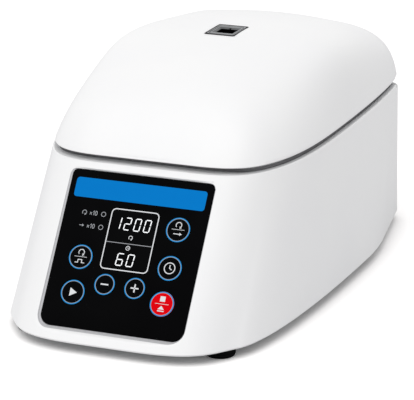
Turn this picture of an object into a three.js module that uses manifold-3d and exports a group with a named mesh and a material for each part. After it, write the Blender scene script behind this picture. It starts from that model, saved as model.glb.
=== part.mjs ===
import * as THREE from 'three';
import { mergeVertices } from 'three/addons/utils/BufferGeometryUtils.js';
import Module from 'manifold-3d';

const wasm = await Module();
wasm.setup();

// Benchtop micro centrifuge with a lifting lid. Millimetres and radians, Z up, front towards -Y.
// In the functions Y runs back from the front edge of the base and Z up from the bench.

// Driving sizes of the whole
const footHeight = 8;
const bodyDepth = 426;
const baseHalfWidth = 120.5;
const seamHalfWidth = 108.4;
const seamHeight = 124.8;
const lidRise = 66.5;
const faceLean = THREE.MathUtils.degToRad(35.1);
const rotorAxisBack = 169.289;

// Fits
const seat = 0.3;
const runningGap = 0.4;
const overrun = 6;

// Facets
const weld = 1e-4;
const bigSides = 32;
const midSides = 18;
const smallSides = 10;
const curveSteps = 4;
const arcSteps = 3;

// Plan outlines: shares of the half width across, and of the outline's own depth along
const basePlanShares = {
  flatShare: 0.18, frontPullShare: 0.46, cornerShare: 0.8, cornerBackShare: 0.089, turnShare: 0.58,
  cornerPullShare: 0.21, flankPullShare: 0.085, widestPullShare: 0.14, widestShare: 0.66,
  tailPullShare: 0.04, creaseShare: 0.975, creaseBackShare: 0.759, rearShare: 0.83,
  rearRoundShare: 0.13,
};
const seamPlanShares = {
  flatShare: 0.32, frontPullShare: 0.27, cornerShare: 0.83, cornerBackShare: 0.026, turnShare: 0.41,
  cornerPullShare: 0.045, flankPullShare: 0.07, widestPullShare: 0.125, widestShare: 0.507,
  tailPullShare: 0.25, creaseShare: 0.951, creaseBackShare: 0.908, rearShare: 0.89,
  rearRoundShare: 0.13,
};

// Housing
const wall = 3;
const deckThickness = 3;
const rimStep = 1;
const rimDrop = 4.7;
const rimChamfer = 2.6;
const edgeRound = 1.2;
const shelfDrop = 5;
const shelfDepth = 26;
const bossRadius = 6;
const bossHeight = 24;
const bossSides = [5.753, 7.651];
const bossRowShares = [0.25822, 0.79812];

// Lid
const lidWall = 2.6;
const lidEdgeRound = 0.8;
const lidRearSetback = 1;
const crownRows = 8;
const crownRowPower = 1.4;
const crownOvalShare = 0.84;
const frontRibShares = { inShare: 0.21, upShare: 0.61, topShare: 1 };
const sideRibShares = { inShare: 0.2, upShare: 0.94, topShare: 0.98 };
const rearRibShares = { inShare: 0, upShare: 0.31, topShare: 1 };

// Lid liner
const linerThickness = 2.5;
const linerDomeRadius = 78;
const linerDomeRise = 16;
const sightRadius = 11;
const notchWidth = 42;
const notchShift = 4;
const notchReach = 20;

// Sight port in the crown of the lid
const portWidth = 26.6;
const portLength = 44;
const portRound = 2;
const portRim = 2.6;
const portFlange = 1.4;
const portDepth = 13;
const portWall = 1.6;
const lensThickness = 2;
const lensLedge = 1.5;

// Control panel in the leaning front
const panelWidth = 119.4;
const panelThickness = 1.5;
const panelLean = THREE.MathUtils.degToRad(33.65);
const panelFootUp = 8.79;
const panelHeadDrop = 10.79;
const panelSunk = 3.05;
const panelTopRound = 4;
const panelFootRound = 9;
const panelLedge = 5;
const panelLedgeThickness = 2.5;
const panelFrameWidth = 6;
const recessReach = 14;
const recessFootShare = 1;
const recessSideShare = 0.18;

// Keys, lights and display on the panel
const keyRadius = 9.9;
const stepKeyRadius = 8.5;
const keyTravel = 0.6;
const keyFlange = 1;
const keyFlangeThickness = 1.2;
const keyStemRadius = 2.6;
const lightRadius = 2.1;
const displayRound = 4;
const moduleInset = 1.2;

// Places on the panel: shares of its width across and of its height up
const keyColumnShare = 0.3124;
const stepKeyColumnShare = 0.10553;
const modeRowShare = 0.18987;
const timeRowShare = -0.05459;
const startRowShare = -0.28006;
const stepRowShare = -0.20649;
const lightColumnShare = -0.22027;
const lightRowShares = [0.22943, 0.14557];
const displayWidthShare = 0.34003;
const displayHeightShare = 0.3924;
const displayCentreShare = 0.08465;

// Control board behind the panel
const boardDepth = 12;
const boardThickness = 1.6;
const boardSideMargin = 0.7;
const boardEndMargin = 9.2;
const boardPostRadius = 2.4;
const boardPostInset = 2.6;
const tactSize = 6;
const tactHeight = 4;

// Rotor chamber
const bowlRadius = 88;
const bowlWall = 1.5;
const bowlFlange = 7;
const bowlCorner = 12;
const bowlDepth = 69.7;
const bowlHoleRadius = 15;
const mouthRadius = 86;
const sealLip = 5;
const sealThickness = 1.7;

// Rotor
const rotorUp = 12;
const rotorHeight = 43;
const rotorRadius = 70;
const rotorRim = 9;
const rotorRimEdge = 4;
const rotorFootRadius = 30;
const rotorFootStep = 2;
const rotorCrownRadius = 54;
const rotorCrownWidth = 6;
const rotorCrownEdge = 2;
const dishRadius = 24;
const dishUp = 17;
const dishStep = 2;
const hubRadius = 13;
const hubHeight = 22;
const tubeCount = 12;
const tubeRadius = 5.6;
const tubeDepth = 31;
const tubeCircle = 37;
const tubeLean = THREE.MathUtils.degToRad(45);
const nutRadius = 12;
const nutTaper = 2;
const nutHeight = 15;
const nutRoof = 3;

// Drive
const shaftRadius = 4;
const shaftGrip = 14;
const coneFootRadius = 7;
const coneTopRadius = 5;
const coneShoulder = 4;
const coneFlare = 2;
const threadRadius = 3;
const motorRadius = 34;
const motorFoot = 16;
const motorEdge = 4;
const motorFlange = 6;
const motorBossRadius = 13;
const motorBossHeight = 4;
const suspensionDrop = 8;
const suspensionRadius = 60;
const suspensionThickness = 3;
const dampCircle = 50;
const dampCount = 3;
const dampRadius = 7;
const dampWaist = 1.5;
const dampHeight = 10;
const dampWaistShare = 0.3;

// Base pan and feet
const panThickness = 1.6;
const panRecess = 1.2;
const panClearance = 0.5;
const panVentY = 128;
const footRadius = 11.5;
const footTopRadius = 10;
const footBulgeShare = 0.25;
const frontFootSide = 40.5;
const frontFootY = 44;
const rearFootSide = 36.5;
const rearFootBack = 54;

// Vent slots, in the pan and the rear panel
const ventCount = 9;
const ventWidth = 3;
const ventHeight = 34;
const ventPitch = 6.4;

// Power electronics on the pan
const powerBoardWidth = 120;
const powerBoardDepth = 64;
const powerBoardBack = 54;
const powerBoardRise = 6;
const powerPostInset = 6;
const powerPostRadius = 3;
const capacitorRadius = 11;
const capacitorHeight = 32;
const capacitorColumns = [-34, -8];
const sinkX = 34;
const sinkWidth = 44;
const sinkDepth = 14;
const sinkHeight = 34;
const sinkPlate = 3;
const finCount = 5;
const finThickness = 2;
const coreWidth = 48;
const coreDepth = 34;
const coreHeight = 40;
const coilWidth = 30;
const coilDepth = 46;
const coilHeight = 26;
const transformerSide = 58.5;
const transformerY = 128;

// Rear panel
const rearWidth = 150;
const rearFoot = 24;
const rearHeadDrop = 20.1;
const rearThickness = 1.5;
const rearLedge = 5;
const bezelThickness = 2;
const bezelLap = 2.4;

// Mains inlet with its fuse drawer
const inletX = 48;
const inletWidth = 27;
const inletHeight = 30;
const inletFoot = 42;
const inletDepth = 22;
const inletWall = 1.6;
const socketHeight = 16.6;
const fuseHeight = 8;
const fuseDepth = 15;
const pinWidth = 4;
const pinThickness = 2;
const pinLength = 14;
const pinPitch = 7;
const earthRise = 4;

// Mains switch
const switchX = -48;
const switchWidth = 27;
const switchHeight = 19;
const switchFoot = 45;
const switchDepth = 14;
const switchBack = 2;
const switchSide = 2.5;
const switchRim = 2;
const rockerTip = 3.6;
const rockerValleyShare = 0.5;
const rockerClearance = 1.2;
const rockerInset = 3;
const axleRadius = 1.5;
const axleGrip = 1.2;
const rockerThrow = THREE.MathUtils.degToRad(14);

// Hinges at the rear of the lid
const hingeX = 46;
const hingeInset = 7.5;
const hingeUp = 2;
const hingeEyeRadius = 4.2;
const hingePinRadius = 2;
const bracketThickness = 4;
const bracketSole = 2.5;
const bracketWidth = 16;
const bracketDepth = 14;
const bracketStem = 6;
const bracketSetback = 1.4;
const armThickness = 3;
const armReach = 26;
const armHeight = 6.4;
const pinHead = 1.5;
const pinHeadRadius = 3.2;
const springWire = 0.8;
const springTurns = 4;
const springSides = 5;
const springSteps = 8;

// Latch under the front of the deck
const strikerBack = 25.289;
const strikerWidth = 16;
const strikerThickness = 2.5;
const strikerDrop = 24;
const strikerFlange = 12;
const strikerLap = 3;
const strikerBar = 3;
const strikerEye = 7;
const strikerCheek = 4;
const latchPivotBack = 13;
const latchPivotDrop = 29.7;
const latchPinRadius = 2;
const latchPinEnd = 1.5;
const hookThickness = 6;
const hookReach = 24;
const hookArm = 5;
const hookNose = 8.5;
const hookNoseHeight = 4;
const frameHalfWidth = 13;
const frameReach = 14;
const frameLength = 60;
const frameDrop = 34;
const frameWeb = 2;
const frameCheek = 1.5;
const solenoidBack = 20;
const solenoidLength = 20;
const solenoidWidth = 20;
const solenoidDrop = 26;
const plungerUp = 12;
const plungerRadius = 3;
const plungerTipRadius = 1.2;
const plungerTip = 4;
const plungerLength = 19;

// Values that follow from those above
const seamZ = footHeight + seamHeight;
const seamFrontY = seamHeight * Math.tan(faceLean);
const rimZ = seamZ - rimDrop;
const deckZ = rimZ + rimChamfer;
const deckUnderside = deckZ - deckThickness;
const shelfZ = deckZ - shelfDrop;
const crownZ = seamZ + lidRise;
const linerZ = deckZ + sealThickness + 2 * seat;
const linerTop = linerZ + linerThickness;
const panTop = footHeight + panRecess + panThickness;
const powerBoardZ = panTop + powerBoardRise;
const lidRearY = bodyDepth - lidRearSetback;
const hingeY = lidRearY - hingeInset;
const hingeZ = seamZ + hingeUp;
const rotorAxisY = seamFrontY + rotorAxisBack;
const bossRows = bossRowShares.map((share) => share * bodyDepth);
const frontFootX = baseHalfWidth - frontFootSide;
const rearFootX = baseHalfWidth - rearFootSide;
const rearFootY = bodyDepth - rearFootBack;
const powerBoardY = bodyDepth - powerBoardBack;
const transformerX = transformerSide - baseHalfWidth;
const bowlFloor = deckUnderside - bowlDepth;
const rotorFloor = bowlFloor + rotorUp;
const suspensionUp = bowlFloor - suspensionDrop;
const strikerY = seamFrontY + strikerBack;
const frameFront = strikerY - frameReach;
const latchPivotY = strikerY + latchPivotBack;
const latchPivotUp = deckUnderside - latchPivotDrop;
const solenoidY = latchPivotY + solenoidBack;
const rearHeight = rimZ - rearHeadDrop - rearFoot;
const rearCentre = rearFoot + rearHeight / 2;
const switchCentre = switchFoot + switchHeight / 2;
const panelTall = seamHeight - panelFootUp - panelHeadDrop;
const panelHeight = panelTall / Math.cos(panelLean);
const panelCentreUp = panelFootUp + panelTall / 2;
const keyColumn = keyColumnShare * panelWidth;
const stepKeyColumn = stepKeyColumnShare * panelWidth;
const modeRow = modeRowShare * panelHeight;
const timeRow = timeRowShare * panelHeight;
const startRow = startRowShare * panelHeight;
const stepRow = stepRowShare * panelHeight;
const lightColumn = lightColumnShare * panelWidth;
const lightRows = lightRowShares.map((share) => share * panelHeight);
const displayWidth = displayWidthShare * panelWidth;
const displayHeight = displayHeightShare * panelHeight;
const displayCentre = displayCentreShare * panelHeight;
const boardWidth = panelWidth - 2 * boardSideMargin;
const boardHeight = panelHeight - 2 * boardEndMargin;
const panelCentreY = panelCentreUp * Math.tan(faceLean) + panelSunk / Math.cos(faceLean);
const hubTop = rotorFloor + hubHeight;
const motorTop = suspensionUp - seat;
const motorBossTop = suspensionUp + suspensionThickness + motorBossHeight;

// Geometry helpers

function signedVolume(geometry) {
  const points = geometry.getAttribute('position');
  const [a, b, c] = [new THREE.Vector3(), new THREE.Vector3(), new THREE.Vector3()];
  let sum = 0;
  for (let i = 0; i < geometry.index.count; i += 3) {
    a.fromBufferAttribute(points, geometry.index.getX(i));
    b.fromBufferAttribute(points, geometry.index.getX(i + 1));
    c.fromBufferAttribute(points, geometry.index.getX(i + 2));
    sum += a.dot(b.cross(c));
  }
  return sum;
}

// Positions only, shared vertices merged, flat triangles dropped, faces turned outwards
function bare(geometry) {
  const plain = new THREE.BufferGeometry();
  plain.setAttribute('position', geometry.getAttribute('position').clone());
  if (geometry.index) plain.setIndex(geometry.index.clone());
  const merged = mergeVertices(plain, weld);
  const corners = merged.index.array;
  const kept = [];
  for (let i = 0; i < corners.length; i += 3) {
    const [p, q, r] = [corners[i], corners[i + 1], corners[i + 2]];
    if (p !== q && q !== r && r !== p) kept.push(p, q, r);
  }
  merged.setIndex(kept);
  if (signedVolume(merged) < 0) {
    for (let i = 0; i < kept.length; i += 3) [kept[i], kept[i + 1]] = [kept[i + 1], kept[i]];
    merged.setIndex(kept);
  }
  return merged;
}

function toSolid(geometry) {
  const merged = bare(geometry);
  return new wasm.Manifold(new wasm.Mesh({
    numProp: 3,
    vertProperties: Float32Array.from(merged.getAttribute('position').array),
    triVerts: Uint32Array.from(merged.index.array),
  }));
}

function toGeometry(solid) {
  const mesh = solid.getMesh();
  const geometry = new THREE.BufferGeometry();
  geometry.setAttribute('position', new THREE.BufferAttribute(mesh.vertProperties, 3));
  geometry.setIndex(new THREE.BufferAttribute(mesh.triVerts, 1));
  return geometry;
}

function join(first, ...others) {
  return toGeometry(others.reduce((sum, part) => sum.add(toSolid(part)), toSolid(first)));
}

function cut(first, ...tools) {
  return toGeometry(tools.reduce((rest, tool) => rest.subtract(toSolid(tool)), toSolid(first)));
}

function common(first, second) {
  return toGeometry(toSolid(first).intersect(toSolid(second)));
}

// Block centred on x and y, standing on z
function block(width, depth, height, x, y, z) {
  return new THREE.BoxGeometry(width, depth, height).translate(x, y, z + height / 2);
}

// Drum centred on x and y, standing on z
function drum(radius, height, x, y, z, sides = smallSides) {
  const geometry = new THREE.CylinderGeometry(radius, radius, height, sides);
  return geometry.rotateX(Math.PI / 2).translate(x, y, z + height / 2);
}

// Drum lying along X, centred on x, y and z
function roller(radius, length, x, y, z) {
  const geometry = new THREE.CylinderGeometry(radius, radius, length, smallSides);
  return geometry.rotateZ(Math.PI / 2).translate(x, y, z);
}

// Profile of [radius, height] pairs turned about the vertical through the origin
function turned(profile, sides) {
  const points = profile.map(([radius, up]) => new THREE.Vector2(radius, up));
  return new THREE.LatheGeometry(points, sides).rotateX(Math.PI / 2);
}

// Quarter turn of [radius, height] pairs from straight down to straight out
function quarter(centreRadius, centreUp, radius) {
  return Array.from({ length: arcSteps + 1 }, (unused, i) => {
    const angle = (Math.PI / 2) * (i / arcSteps);
    return [centreRadius + radius * Math.sin(angle), centreUp - radius * Math.cos(angle)];
  });
}

// Rectangle about the origin with its own round for the lower corners
function roundedOutline(width, height, topRound, footRound = topRound) {
  const shape = new THREE.Shape();
  const x = width / 2;
  const y = height / 2;
  shape.moveTo(footRound - x, -y);
  shape.lineTo(x - footRound, -y);
  shape.quadraticCurveTo(x, -y, x, footRound - y);
  shape.lineTo(x, y - topRound);
  shape.quadraticCurveTo(x, y, x - topRound, y);
  shape.lineTo(topRound - x, y);
  shape.quadraticCurveTo(-x, y, -x, y - topRound);
  shape.lineTo(-x, footRound - y);
  shape.quadraticCurveTo(-x, -y, footRound - x, -y);
  return shape;
}

// Outline in X and Y raised from z
function slab(shape, height, z) {
  const options = { depth: height, bevelEnabled: false, curveSegments: curveSteps };
  return new THREE.ExtrudeGeometry(shape, options).translate(0, 0, z);
}

// Skin over closed rings of equal length, capped flat at both ends
function loft(rings) {
  const count = rings[0].length;
  const points = rings.flat();
  const faces = [];
  for (let row = 0; row + 1 < rings.length; row += 1) {
    for (let i = 0; i < count; i += 1) {
      const a = row * count + i;
      const b = row * count + (i + 1) % count;
      faces.push(a, b, b + count, a, b + count, a + count);
    }
  }
  for (const ring of [rings[0], rings[rings.length - 1]]) {
    const isFirst = ring === rings[0];
    const start = isFirst ? 0 : (rings.length - 1) * count;
    const middle = new THREE.Vector3();
    ring.forEach((point) => middle.add(point));
    points.push(middle.divideScalar(count));
    for (let i = 0; i < count; i += 1) {
      const a = start + i;
      const b = start + (i + 1) % count;
      faces.push(points.length - 1, isFirst ? b : a, isFirst ? a : b);
    }
  }
  const geometry = new THREE.BufferGeometry();
  const flat = points.flatMap((point) => point.toArray());
  geometry.setAttribute('position', new THREE.Float32BufferAttribute(flat, 3));
  geometry.setIndex(faces);
  return geometry;
}

// Plan outlines of the body and the lid

// Closed ring of plan points, anticlockwise from the middle of the front
function planRing(shares, halfWidth, frontY, rearY) {
  const depth = rearY - frontY;
  const across = (share) => share * halfWidth;
  const along = (share) => frontY + share * depth;
  const corner = new THREE.Vector2(across(shares.cornerShare), along(shares.cornerBackShare));
  const widest = new THREE.Vector2(halfWidth, along(shares.widestShare));
  const crease = new THREE.Vector2(across(shares.creaseShare), along(shares.creaseBackShare));
  const turn = shares.turnShare * (Math.PI / 2);
  const cornerWay = new THREE.Vector2(Math.cos(turn), Math.sin(turn));
  const before = corner.clone().addScaledVector(cornerWay, -across(shares.cornerPullShare));
  const after = corner.clone().addScaledVector(cornerWay, shares.flankPullShare * depth);
  const path = new THREE.Path();
  path.moveTo(0, frontY);
  path.lineTo(across(shares.flatShare), frontY);
  path.bezierCurveTo(
    across(shares.flatShare + shares.frontPullShare), frontY, before.x, before.y, corner.x, corner.y,
  );
  path.bezierCurveTo(
    after.x, after.y, widest.x, widest.y - shares.widestPullShare * depth, widest.x, widest.y,
  );
  path.quadraticCurveTo(widest.x, widest.y + shares.tailPullShare * depth, crease.x, crease.y);
  const rearX = across(shares.rearShare);
  const rearRound = across(shares.rearRoundShare);
  const facet = new THREE.Vector2(rearX - crease.x, rearY - crease.y).setLength(rearRound);
  path.lineTo(rearX - facet.x, rearY - facet.y);
  path.quadraticCurveTo(rearX, rearY, rearX - rearRound, rearY);
  path.lineTo(0, rearY);
  const right = path.getPoints(curveSteps);
  const left = right.slice(1, -1).reverse().map((point) => new THREE.Vector2(-point.x, point.y));
  return [...right, ...left];
}

// Half width of a ring at a distance back
function reachAt(ring, y) {
  const i = ring.findIndex((point, n) => point.y <= y && ring[n + 1].y > y);
  return THREE.MathUtils.mapLinear(y, ring[i].y, ring[i + 1].y, ring[i].x, ring[i + 1].x);
}

// Ring moved inwards by a distance
function inset(ring, distance) {
  return ring.map((point, i) => {
    const before = ring[(i + ring.length - 1) % ring.length];
    const after = ring[(i + 1) % ring.length];
    const way = after.clone().sub(before).normalize();
    return new THREE.Vector2(point.x - way.y * distance, point.y + way.x * distance);
  });
}

const atHeight = (ring, z) => ring.map((point) => new THREE.Vector3(point.x, point.y, z));

const baseRing = planRing(basePlanShares, baseHalfWidth, 0, bodyDepth);
const rimRing = planRing(seamPlanShares, seamHalfWidth + rimStep, seamFrontY, bodyDepth);
const seamRing = planRing(seamPlanShares, seamHalfWidth, seamFrontY, lidRearY);

// Level section of the body: straight lines join the base outline to the rim outline
function bodyRing(z, distance) {
  const share = (z - footHeight) / seamHeight;
  const ring = baseRing.map((point, i) => point.clone().lerp(rimRing[i], share));
  return atHeight(inset(ring, distance), z);
}

// Lid surface: every rib is one cubic curve from the rim to the crown

// How far out and how far up a rib is at t, as shares of its reach and of the rise
function ribAt(angle, t) {
  const front = Math.max(Math.cos(angle), 0) ** 2;
  const rear = Math.max(-Math.cos(angle), 0) ** 2;
  const side = 1 - front - rear;
  const mix = (key) => (
    front * frontRibShares[key] + side * sideRibShares[key] + rear * rearRibShares[key]
  );
  const s = 1 - t;
  const out = s ** 3 + 3 * s * s * t * (1 - mix('inShare')) + 3 * s * t * t * mix('topShare');
  const up = 3 * s * s * t * mix('upShare') + 3 * s * t * t + t ** 3;
  return [out, up];
}

const angleOf = (point) => Math.atan2(point.x, rotorAxisY - point.y);

// Point of the lid surface above a rim point, at t from rim to crown
function crownPoint(ring, point, t, rise) {
  const angle = angleOf(point);
  const [out, up] = ribAt(angle, t);
  const halfWidth = Math.max(...ring.map((other) => other.x));
  const farY = point.y < rotorAxisY ? ring[0].y : Math.max(...ring.map((other) => other.y));
  const reach = Math.abs(farY - rotorAxisY);
  const oval = 1 / Math.hypot(Math.sin(angle) / halfWidth, Math.cos(angle) / reach);
  const straight = Math.hypot(point.x, point.y - rotorAxisY);
  const radius = out * THREE.MathUtils.lerp(straight, oval, crownOvalShare * up * up);
  return new THREE.Vector3(
    radius * Math.sin(angle), rotorAxisY - radius * Math.cos(angle), seamZ + lidEdgeRound + rise * up,
  );
}

// Solid under a lid surface, standing on its foot ring
function dome(ring, footRing, rise) {
  const rings = [footRing];
  for (let row = 0; row < crownRows; row += 1) {
    const t = 1 - Math.cos((Math.PI / 2) * (row / crownRows)) ** crownRowPower;
    rings.push(ring.map((point) => crownPoint(ring, point, t, rise)));
  }
  return loft(rings);
}

// Level outline inside the lid at z, a distance in from its outer surface
function lidRingAt(z, distance) {
  const rise = lidRise - lidEdgeRound;
  const share = (z - seamZ - lidEdgeRound) / rise;
  const ring = seamRing.map((point) => {
    let low = 0;
    let high = 1;
    while (high - low > weld) {
      const t = (low + high) / 2;
      if (ribAt(angleOf(point), t)[1] < share) low = t;
      else high = t;
    }
    const place = crownPoint(seamRing, point, low, rise);
    return new THREE.Vector2(place.x, place.y);
  });
  return inset(ring, distance);
}

// Panel frame: X across, Y up the leaning face, Z out of it
const panelFrame = new THREE.Matrix4()
  .makeRotationX(Math.PI / 2 - panelLean)
  .setPosition(0, panelCentreY, footHeight + panelCentreUp);

const onPanel = (geometry) => geometry.applyMatrix4(panelFrame);

function panelOutline(grow) {
  return roundedOutline(
    panelWidth + 2 * grow, panelHeight + 2 * grow,
    Math.max(panelTopRound + grow, seat), Math.max(panelFootRound + grow, seat),
  );
}

// Housing

// Wedge in front of the panel: near upright at the sides and top, slanted at the foot
function panelRecess() {
  const ringAt = (side, foot, z) => {
    const outline = roundedOutline(
      panelWidth + 2 * side, panelHeight + side + foot, panelTopRound + side, panelFootRound + side,
    );
    const drop = (foot - side) / 2;
    const points = outline.getPoints(curveSteps).slice(0, -1);
    return points.map((point) => new THREE.Vector3(point.x, point.y - drop, z));
  };
  return onPanel(loft([
    ringAt(seat, seat, -panelThickness - seat),
    ringAt(seat, seat, 0),
    ringAt(seat + recessSideShare * recessReach, seat + recessFootShare * recessReach, recessReach),
  ]));
}

// Pocket from outside the rear face down to a depth behind it
function rearPocket(width, height, depth, x, z) {
  return block(width, depth + overrun, height, x, bodyDepth + (overrun - depth) / 2, z);
}

function housing() {
  const outer = loft([
    bodyRing(footHeight, edgeRound),
    bodyRing(footHeight + edgeRound, 0),
    bodyRing(rimZ, 0),
    bodyRing(deckZ, rimChamfer),
  ]);
  const hollow = loft([bodyRing(footHeight - overrun, wall), bodyRing(deckUnderside, wall)]);
  const shelf = (depth, z) => block(
    2 * baseHalfWidth, depth + overrun, shelfDrop + overrun, 0, bodyDepth - (depth - overrun) / 2, z,
  );
  const frameDepth = panelLedgeThickness + panelThickness;
  const frame = onPanel(slab(panelOutline(panelFrameWidth), frameDepth + recessReach, -frameDepth));
  const panRoom = loft([
    bodyRing(footHeight - overrun, wall), bodyRing(panTop + 2 * seat, wall),
  ]);
  const bossPlaces = bossRows.flatMap((y, i) => {
    const x = reachAt(baseRing, y) - bossSides[i];
    return [[-x, y], [x, y]];
  });
  const bosses = bossPlaces.map(([x, y]) => common(
    drum(bossRadius, bossHeight, x, y, panTop + seat), outer,
  ));
  const shell = cut(outer, cut(hollow, shelf(shelfDepth + wall, shelfZ - deckThickness)));
  const body = join(cut(join(shell, common(frame, outer)), panRoom), ...bosses);
  const slotDepth = strikerThickness + 2 * overrun;
  return cut(
    body,
    shelf(shelfDepth, shelfZ),
    panelRecess(),
    onPanel(slab(panelOutline(-panelLedge), recessReach + overrun, -recessReach)),
    drum(mouthRadius, deckThickness + 2 * overrun, 0, rotorAxisY, deckUnderside - overrun, bigSides),
    block(
      strikerWidth + 2 * overrun, slotDepth, deckThickness + 2 * overrun,
      0, strikerY, deckUnderside - overrun,
    ),
    rearPocket(rearWidth + 2 * seat, rearHeight + 2 * seat, rearThickness + seat, 0, rearFoot - seat),
    rearPocket(
      rearWidth - 2 * rearLedge, rearHeight - 2 * rearLedge, wall + overrun, 0, rearFoot + rearLedge,
    ),
  );
}

// Base pan and feet

const dampPlaces = Array.from({ length: dampCount }, (unused, i) => {
  const angle = Math.PI / 2 + i * ((2 * Math.PI) / dampCount);
  return [dampCircle * Math.cos(angle), rotorAxisY + dampCircle * Math.sin(angle)];
});

const ventColumns = Array.from({ length: ventCount }, (unused, i) => (
  (i - (ventCount - 1) / 2) * ventPitch
));

function basePan() {
  const plate = loft([
    bodyRing(footHeight + panRecess, wall + panClearance), bodyRing(panTop, wall + panClearance),
  ]);
  const postFoot = panTop - panThickness / 2;
  const posts = dampPlaces.map(([x, y]) => drum(
    dampRadius, suspensionUp - dampHeight - seat - postFoot, x, y, postFoot,
  ));
  const x = powerBoardWidth / 2 - powerPostInset;
  const y = powerBoardDepth / 2 - powerPostInset;
  const corners = [[-x, -y], [x, -y], [-x, y], [x, y]];
  const boardPosts = corners.map(([dx, dy]) => drum(
    powerPostRadius, powerBoardZ - seat - postFoot, dx, powerBoardY + dy, postFoot,
  ));
  const vents = ventColumns.map((column) => block(
    ventWidth, ventHeight, panThickness + 2 * overrun, column, panVentY, panTop - overrun,
  ));
  return cut(join(plate, ...posts, ...boardPosts), ...vents);
}

function foot() {
  const height = footHeight + panRecess - seat;
  return turned([
    [0, 0], [footTopRadius, 0], [footRadius, footBulgeShare * height], [footTopRadius, height],
    [0, height],
  ], midSides);
}

// Rotor chamber

function bowl() {
  const top = deckUnderside - seat - bowlFloor;
  const centre = bowlRadius - bowlCorner;
  const flange = bowlRadius + bowlFlange;
  return turned([
    [bowlHoleRadius, 0], ...quarter(centre, bowlCorner, bowlCorner),
    [bowlRadius, top - bowlWall], [flange, top - bowlWall], [flange, top], [bowlRadius - bowlWall, top],
    ...quarter(centre, bowlCorner, bowlCorner - bowlWall).reverse(),
    [bowlHoleRadius, bowlWall], [bowlHoleRadius, 0],
  ], bigSides).translate(0, rotorAxisY, bowlFloor);
}

// Rubber ring with a lip over the edge of the deck
function chamberSeal() {
  const outer = mouthRadius - seat;
  const inner = outer - bowlWall;
  const lip = deckThickness + seat;
  return turned([
    [inner, 0], [outer, 0], [outer, lip], [outer + sealLip, lip], [outer + sealLip, lip + sealThickness],
    [inner, lip + sealThickness], [inner, 0],
  ], bigSides).translate(0, rotorAxisY, deckUnderside);
}

// Drive

function motor() {
  const flange = motorRadius + motorFlange;
  const shaftHole = shaftRadius + runningGap;
  return turned([
    [0, motorFoot], [motorRadius - motorEdge, motorFoot], [motorRadius, motorFoot + motorEdge],
    [motorRadius, motorTop - motorFlange], [flange, motorTop - motorEdge], [flange, motorTop],
    [motorBossRadius, motorTop], [motorBossRadius, motorBossTop], [shaftHole, motorBossTop],
    [shaftHole, motorBossTop - shaftGrip - seat], [0, motorBossTop - shaftGrip - seat],
  ], midSides).translate(0, rotorAxisY, 0);
}

function motorPlate() {
  const plate = drum(suspensionRadius, suspensionThickness, 0, rotorAxisY, suspensionUp, bigSides);
  const hole = drum(
    motorBossRadius + seat, suspensionThickness + 2 * overrun, 0, rotorAxisY, suspensionUp - overrun,
    midSides,
  );
  return cut(plate, hole);
}

function motorDamper() {
  const height = dampHeight - seat;
  const waist = dampRadius - dampWaist;
  return turned([
    [0, 0], [dampRadius, 0], [waist, dampWaistShare * height], [waist, (1 - dampWaistShare) * height],
    [dampRadius, height], [0, height],
  ], smallSides);
}

function driveShaft() {
  const start = motorBossTop - shaftGrip;
  const shoulder = rotorFloor - coneShoulder;
  const coneTop = hubTop - seat;
  const end = hubTop + nutHeight - nutRoof - seat;
  return turned([
    [0, start], [shaftRadius, start], [shaftRadius, shoulder - coneFlare], [coneFootRadius, shoulder],
    [coneFootRadius, rotorFloor], [coneTopRadius, coneTop], [threadRadius, coneTop],
    [threadRadius, end], [0, end],
  ], midSides).translate(0, rotorAxisY, 0);
}

// Fixed angle rotor: a turned body with a ring of leaning tube pockets
function rotor() {
  const crownEdge = rotorHeight - rotorCrownEdge;
  const crownInner = rotorCrownRadius - rotorCrownWidth;
  const body = turned([
    [coneFootRadius + seat, 0], [rotorFootRadius, 0], [rotorFootRadius + rotorFootStep, rotorFootStep],
    [rotorRadius - rotorRimEdge, rotorFootStep], [rotorRadius, rotorFootStep + rotorRimEdge],
    [rotorRadius, rotorRim], [rotorCrownRadius, crownEdge],
    [rotorCrownRadius - rotorCrownWidth / 2, rotorHeight], [crownInner, crownEdge],
    [dishRadius, dishUp], [dishRadius - dishStep, dishUp - dishStep], [hubRadius, dishUp - dishStep],
    [hubRadius, hubHeight], [coneTopRadius + seat, hubHeight], [coneFootRadius + seat, 0],
  ], bigSides);
  const length = tubeDepth + overrun;
  const mouthUp = dishUp + tubeCircle - dishRadius;
  const pocket = new THREE.CylinderGeometry(tubeRadius, tubeRadius, length, smallSides);
  pocket.translate(0, overrun - length / 2, 0).rotateX(Math.PI / 2 + tubeLean);
  pocket.translate(0, tubeCircle, mouthUp);
  const pockets = Array.from({ length: tubeCount }, (unused, i) => (
    pocket.clone().rotateZ(i * ((2 * Math.PI) / tubeCount))
  ));
  return cut(body, ...pockets).translate(0, rotorAxisY, rotorFloor);
}

function rotorNut() {
  const bore = threadRadius + seat;
  return turned([
    [bore, 0], [nutRadius, 0], [nutRadius, nutHeight - nutTaper], [nutRadius - nutTaper, nutHeight],
    [0, nutHeight], [0, nutHeight - nutRoof], [bore, nutHeight - nutRoof], [bore, 0],
  ], midSides).translate(0, rotorAxisY, hubTop + seat);
}

// Lid

function lidShell() {
  const rise = lidRise - lidEdgeRound;
  const innerRing = inset(seamRing, lidWall);
  const centred = (geometry) => geometry.translate(0, rotorAxisY, 0);
  return cut(
    dome(seamRing, atHeight(inset(seamRing, lidEdgeRound), seamZ), rise),
    dome(innerRing, atHeight(innerRing, seamZ - overrun), rise - lidWall),
    centred(slab(
      roundedOutline(portWidth - 2 * portRim, portLength - 2 * portRim, portRound),
      2 * overrun, crownZ - overrun,
    )),
    centred(slab(
      roundedOutline(portWidth + 2 * seat, portLength + 2 * seat, portRound), overrun, crownZ - portFlange,
    )),
  );
}

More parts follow.
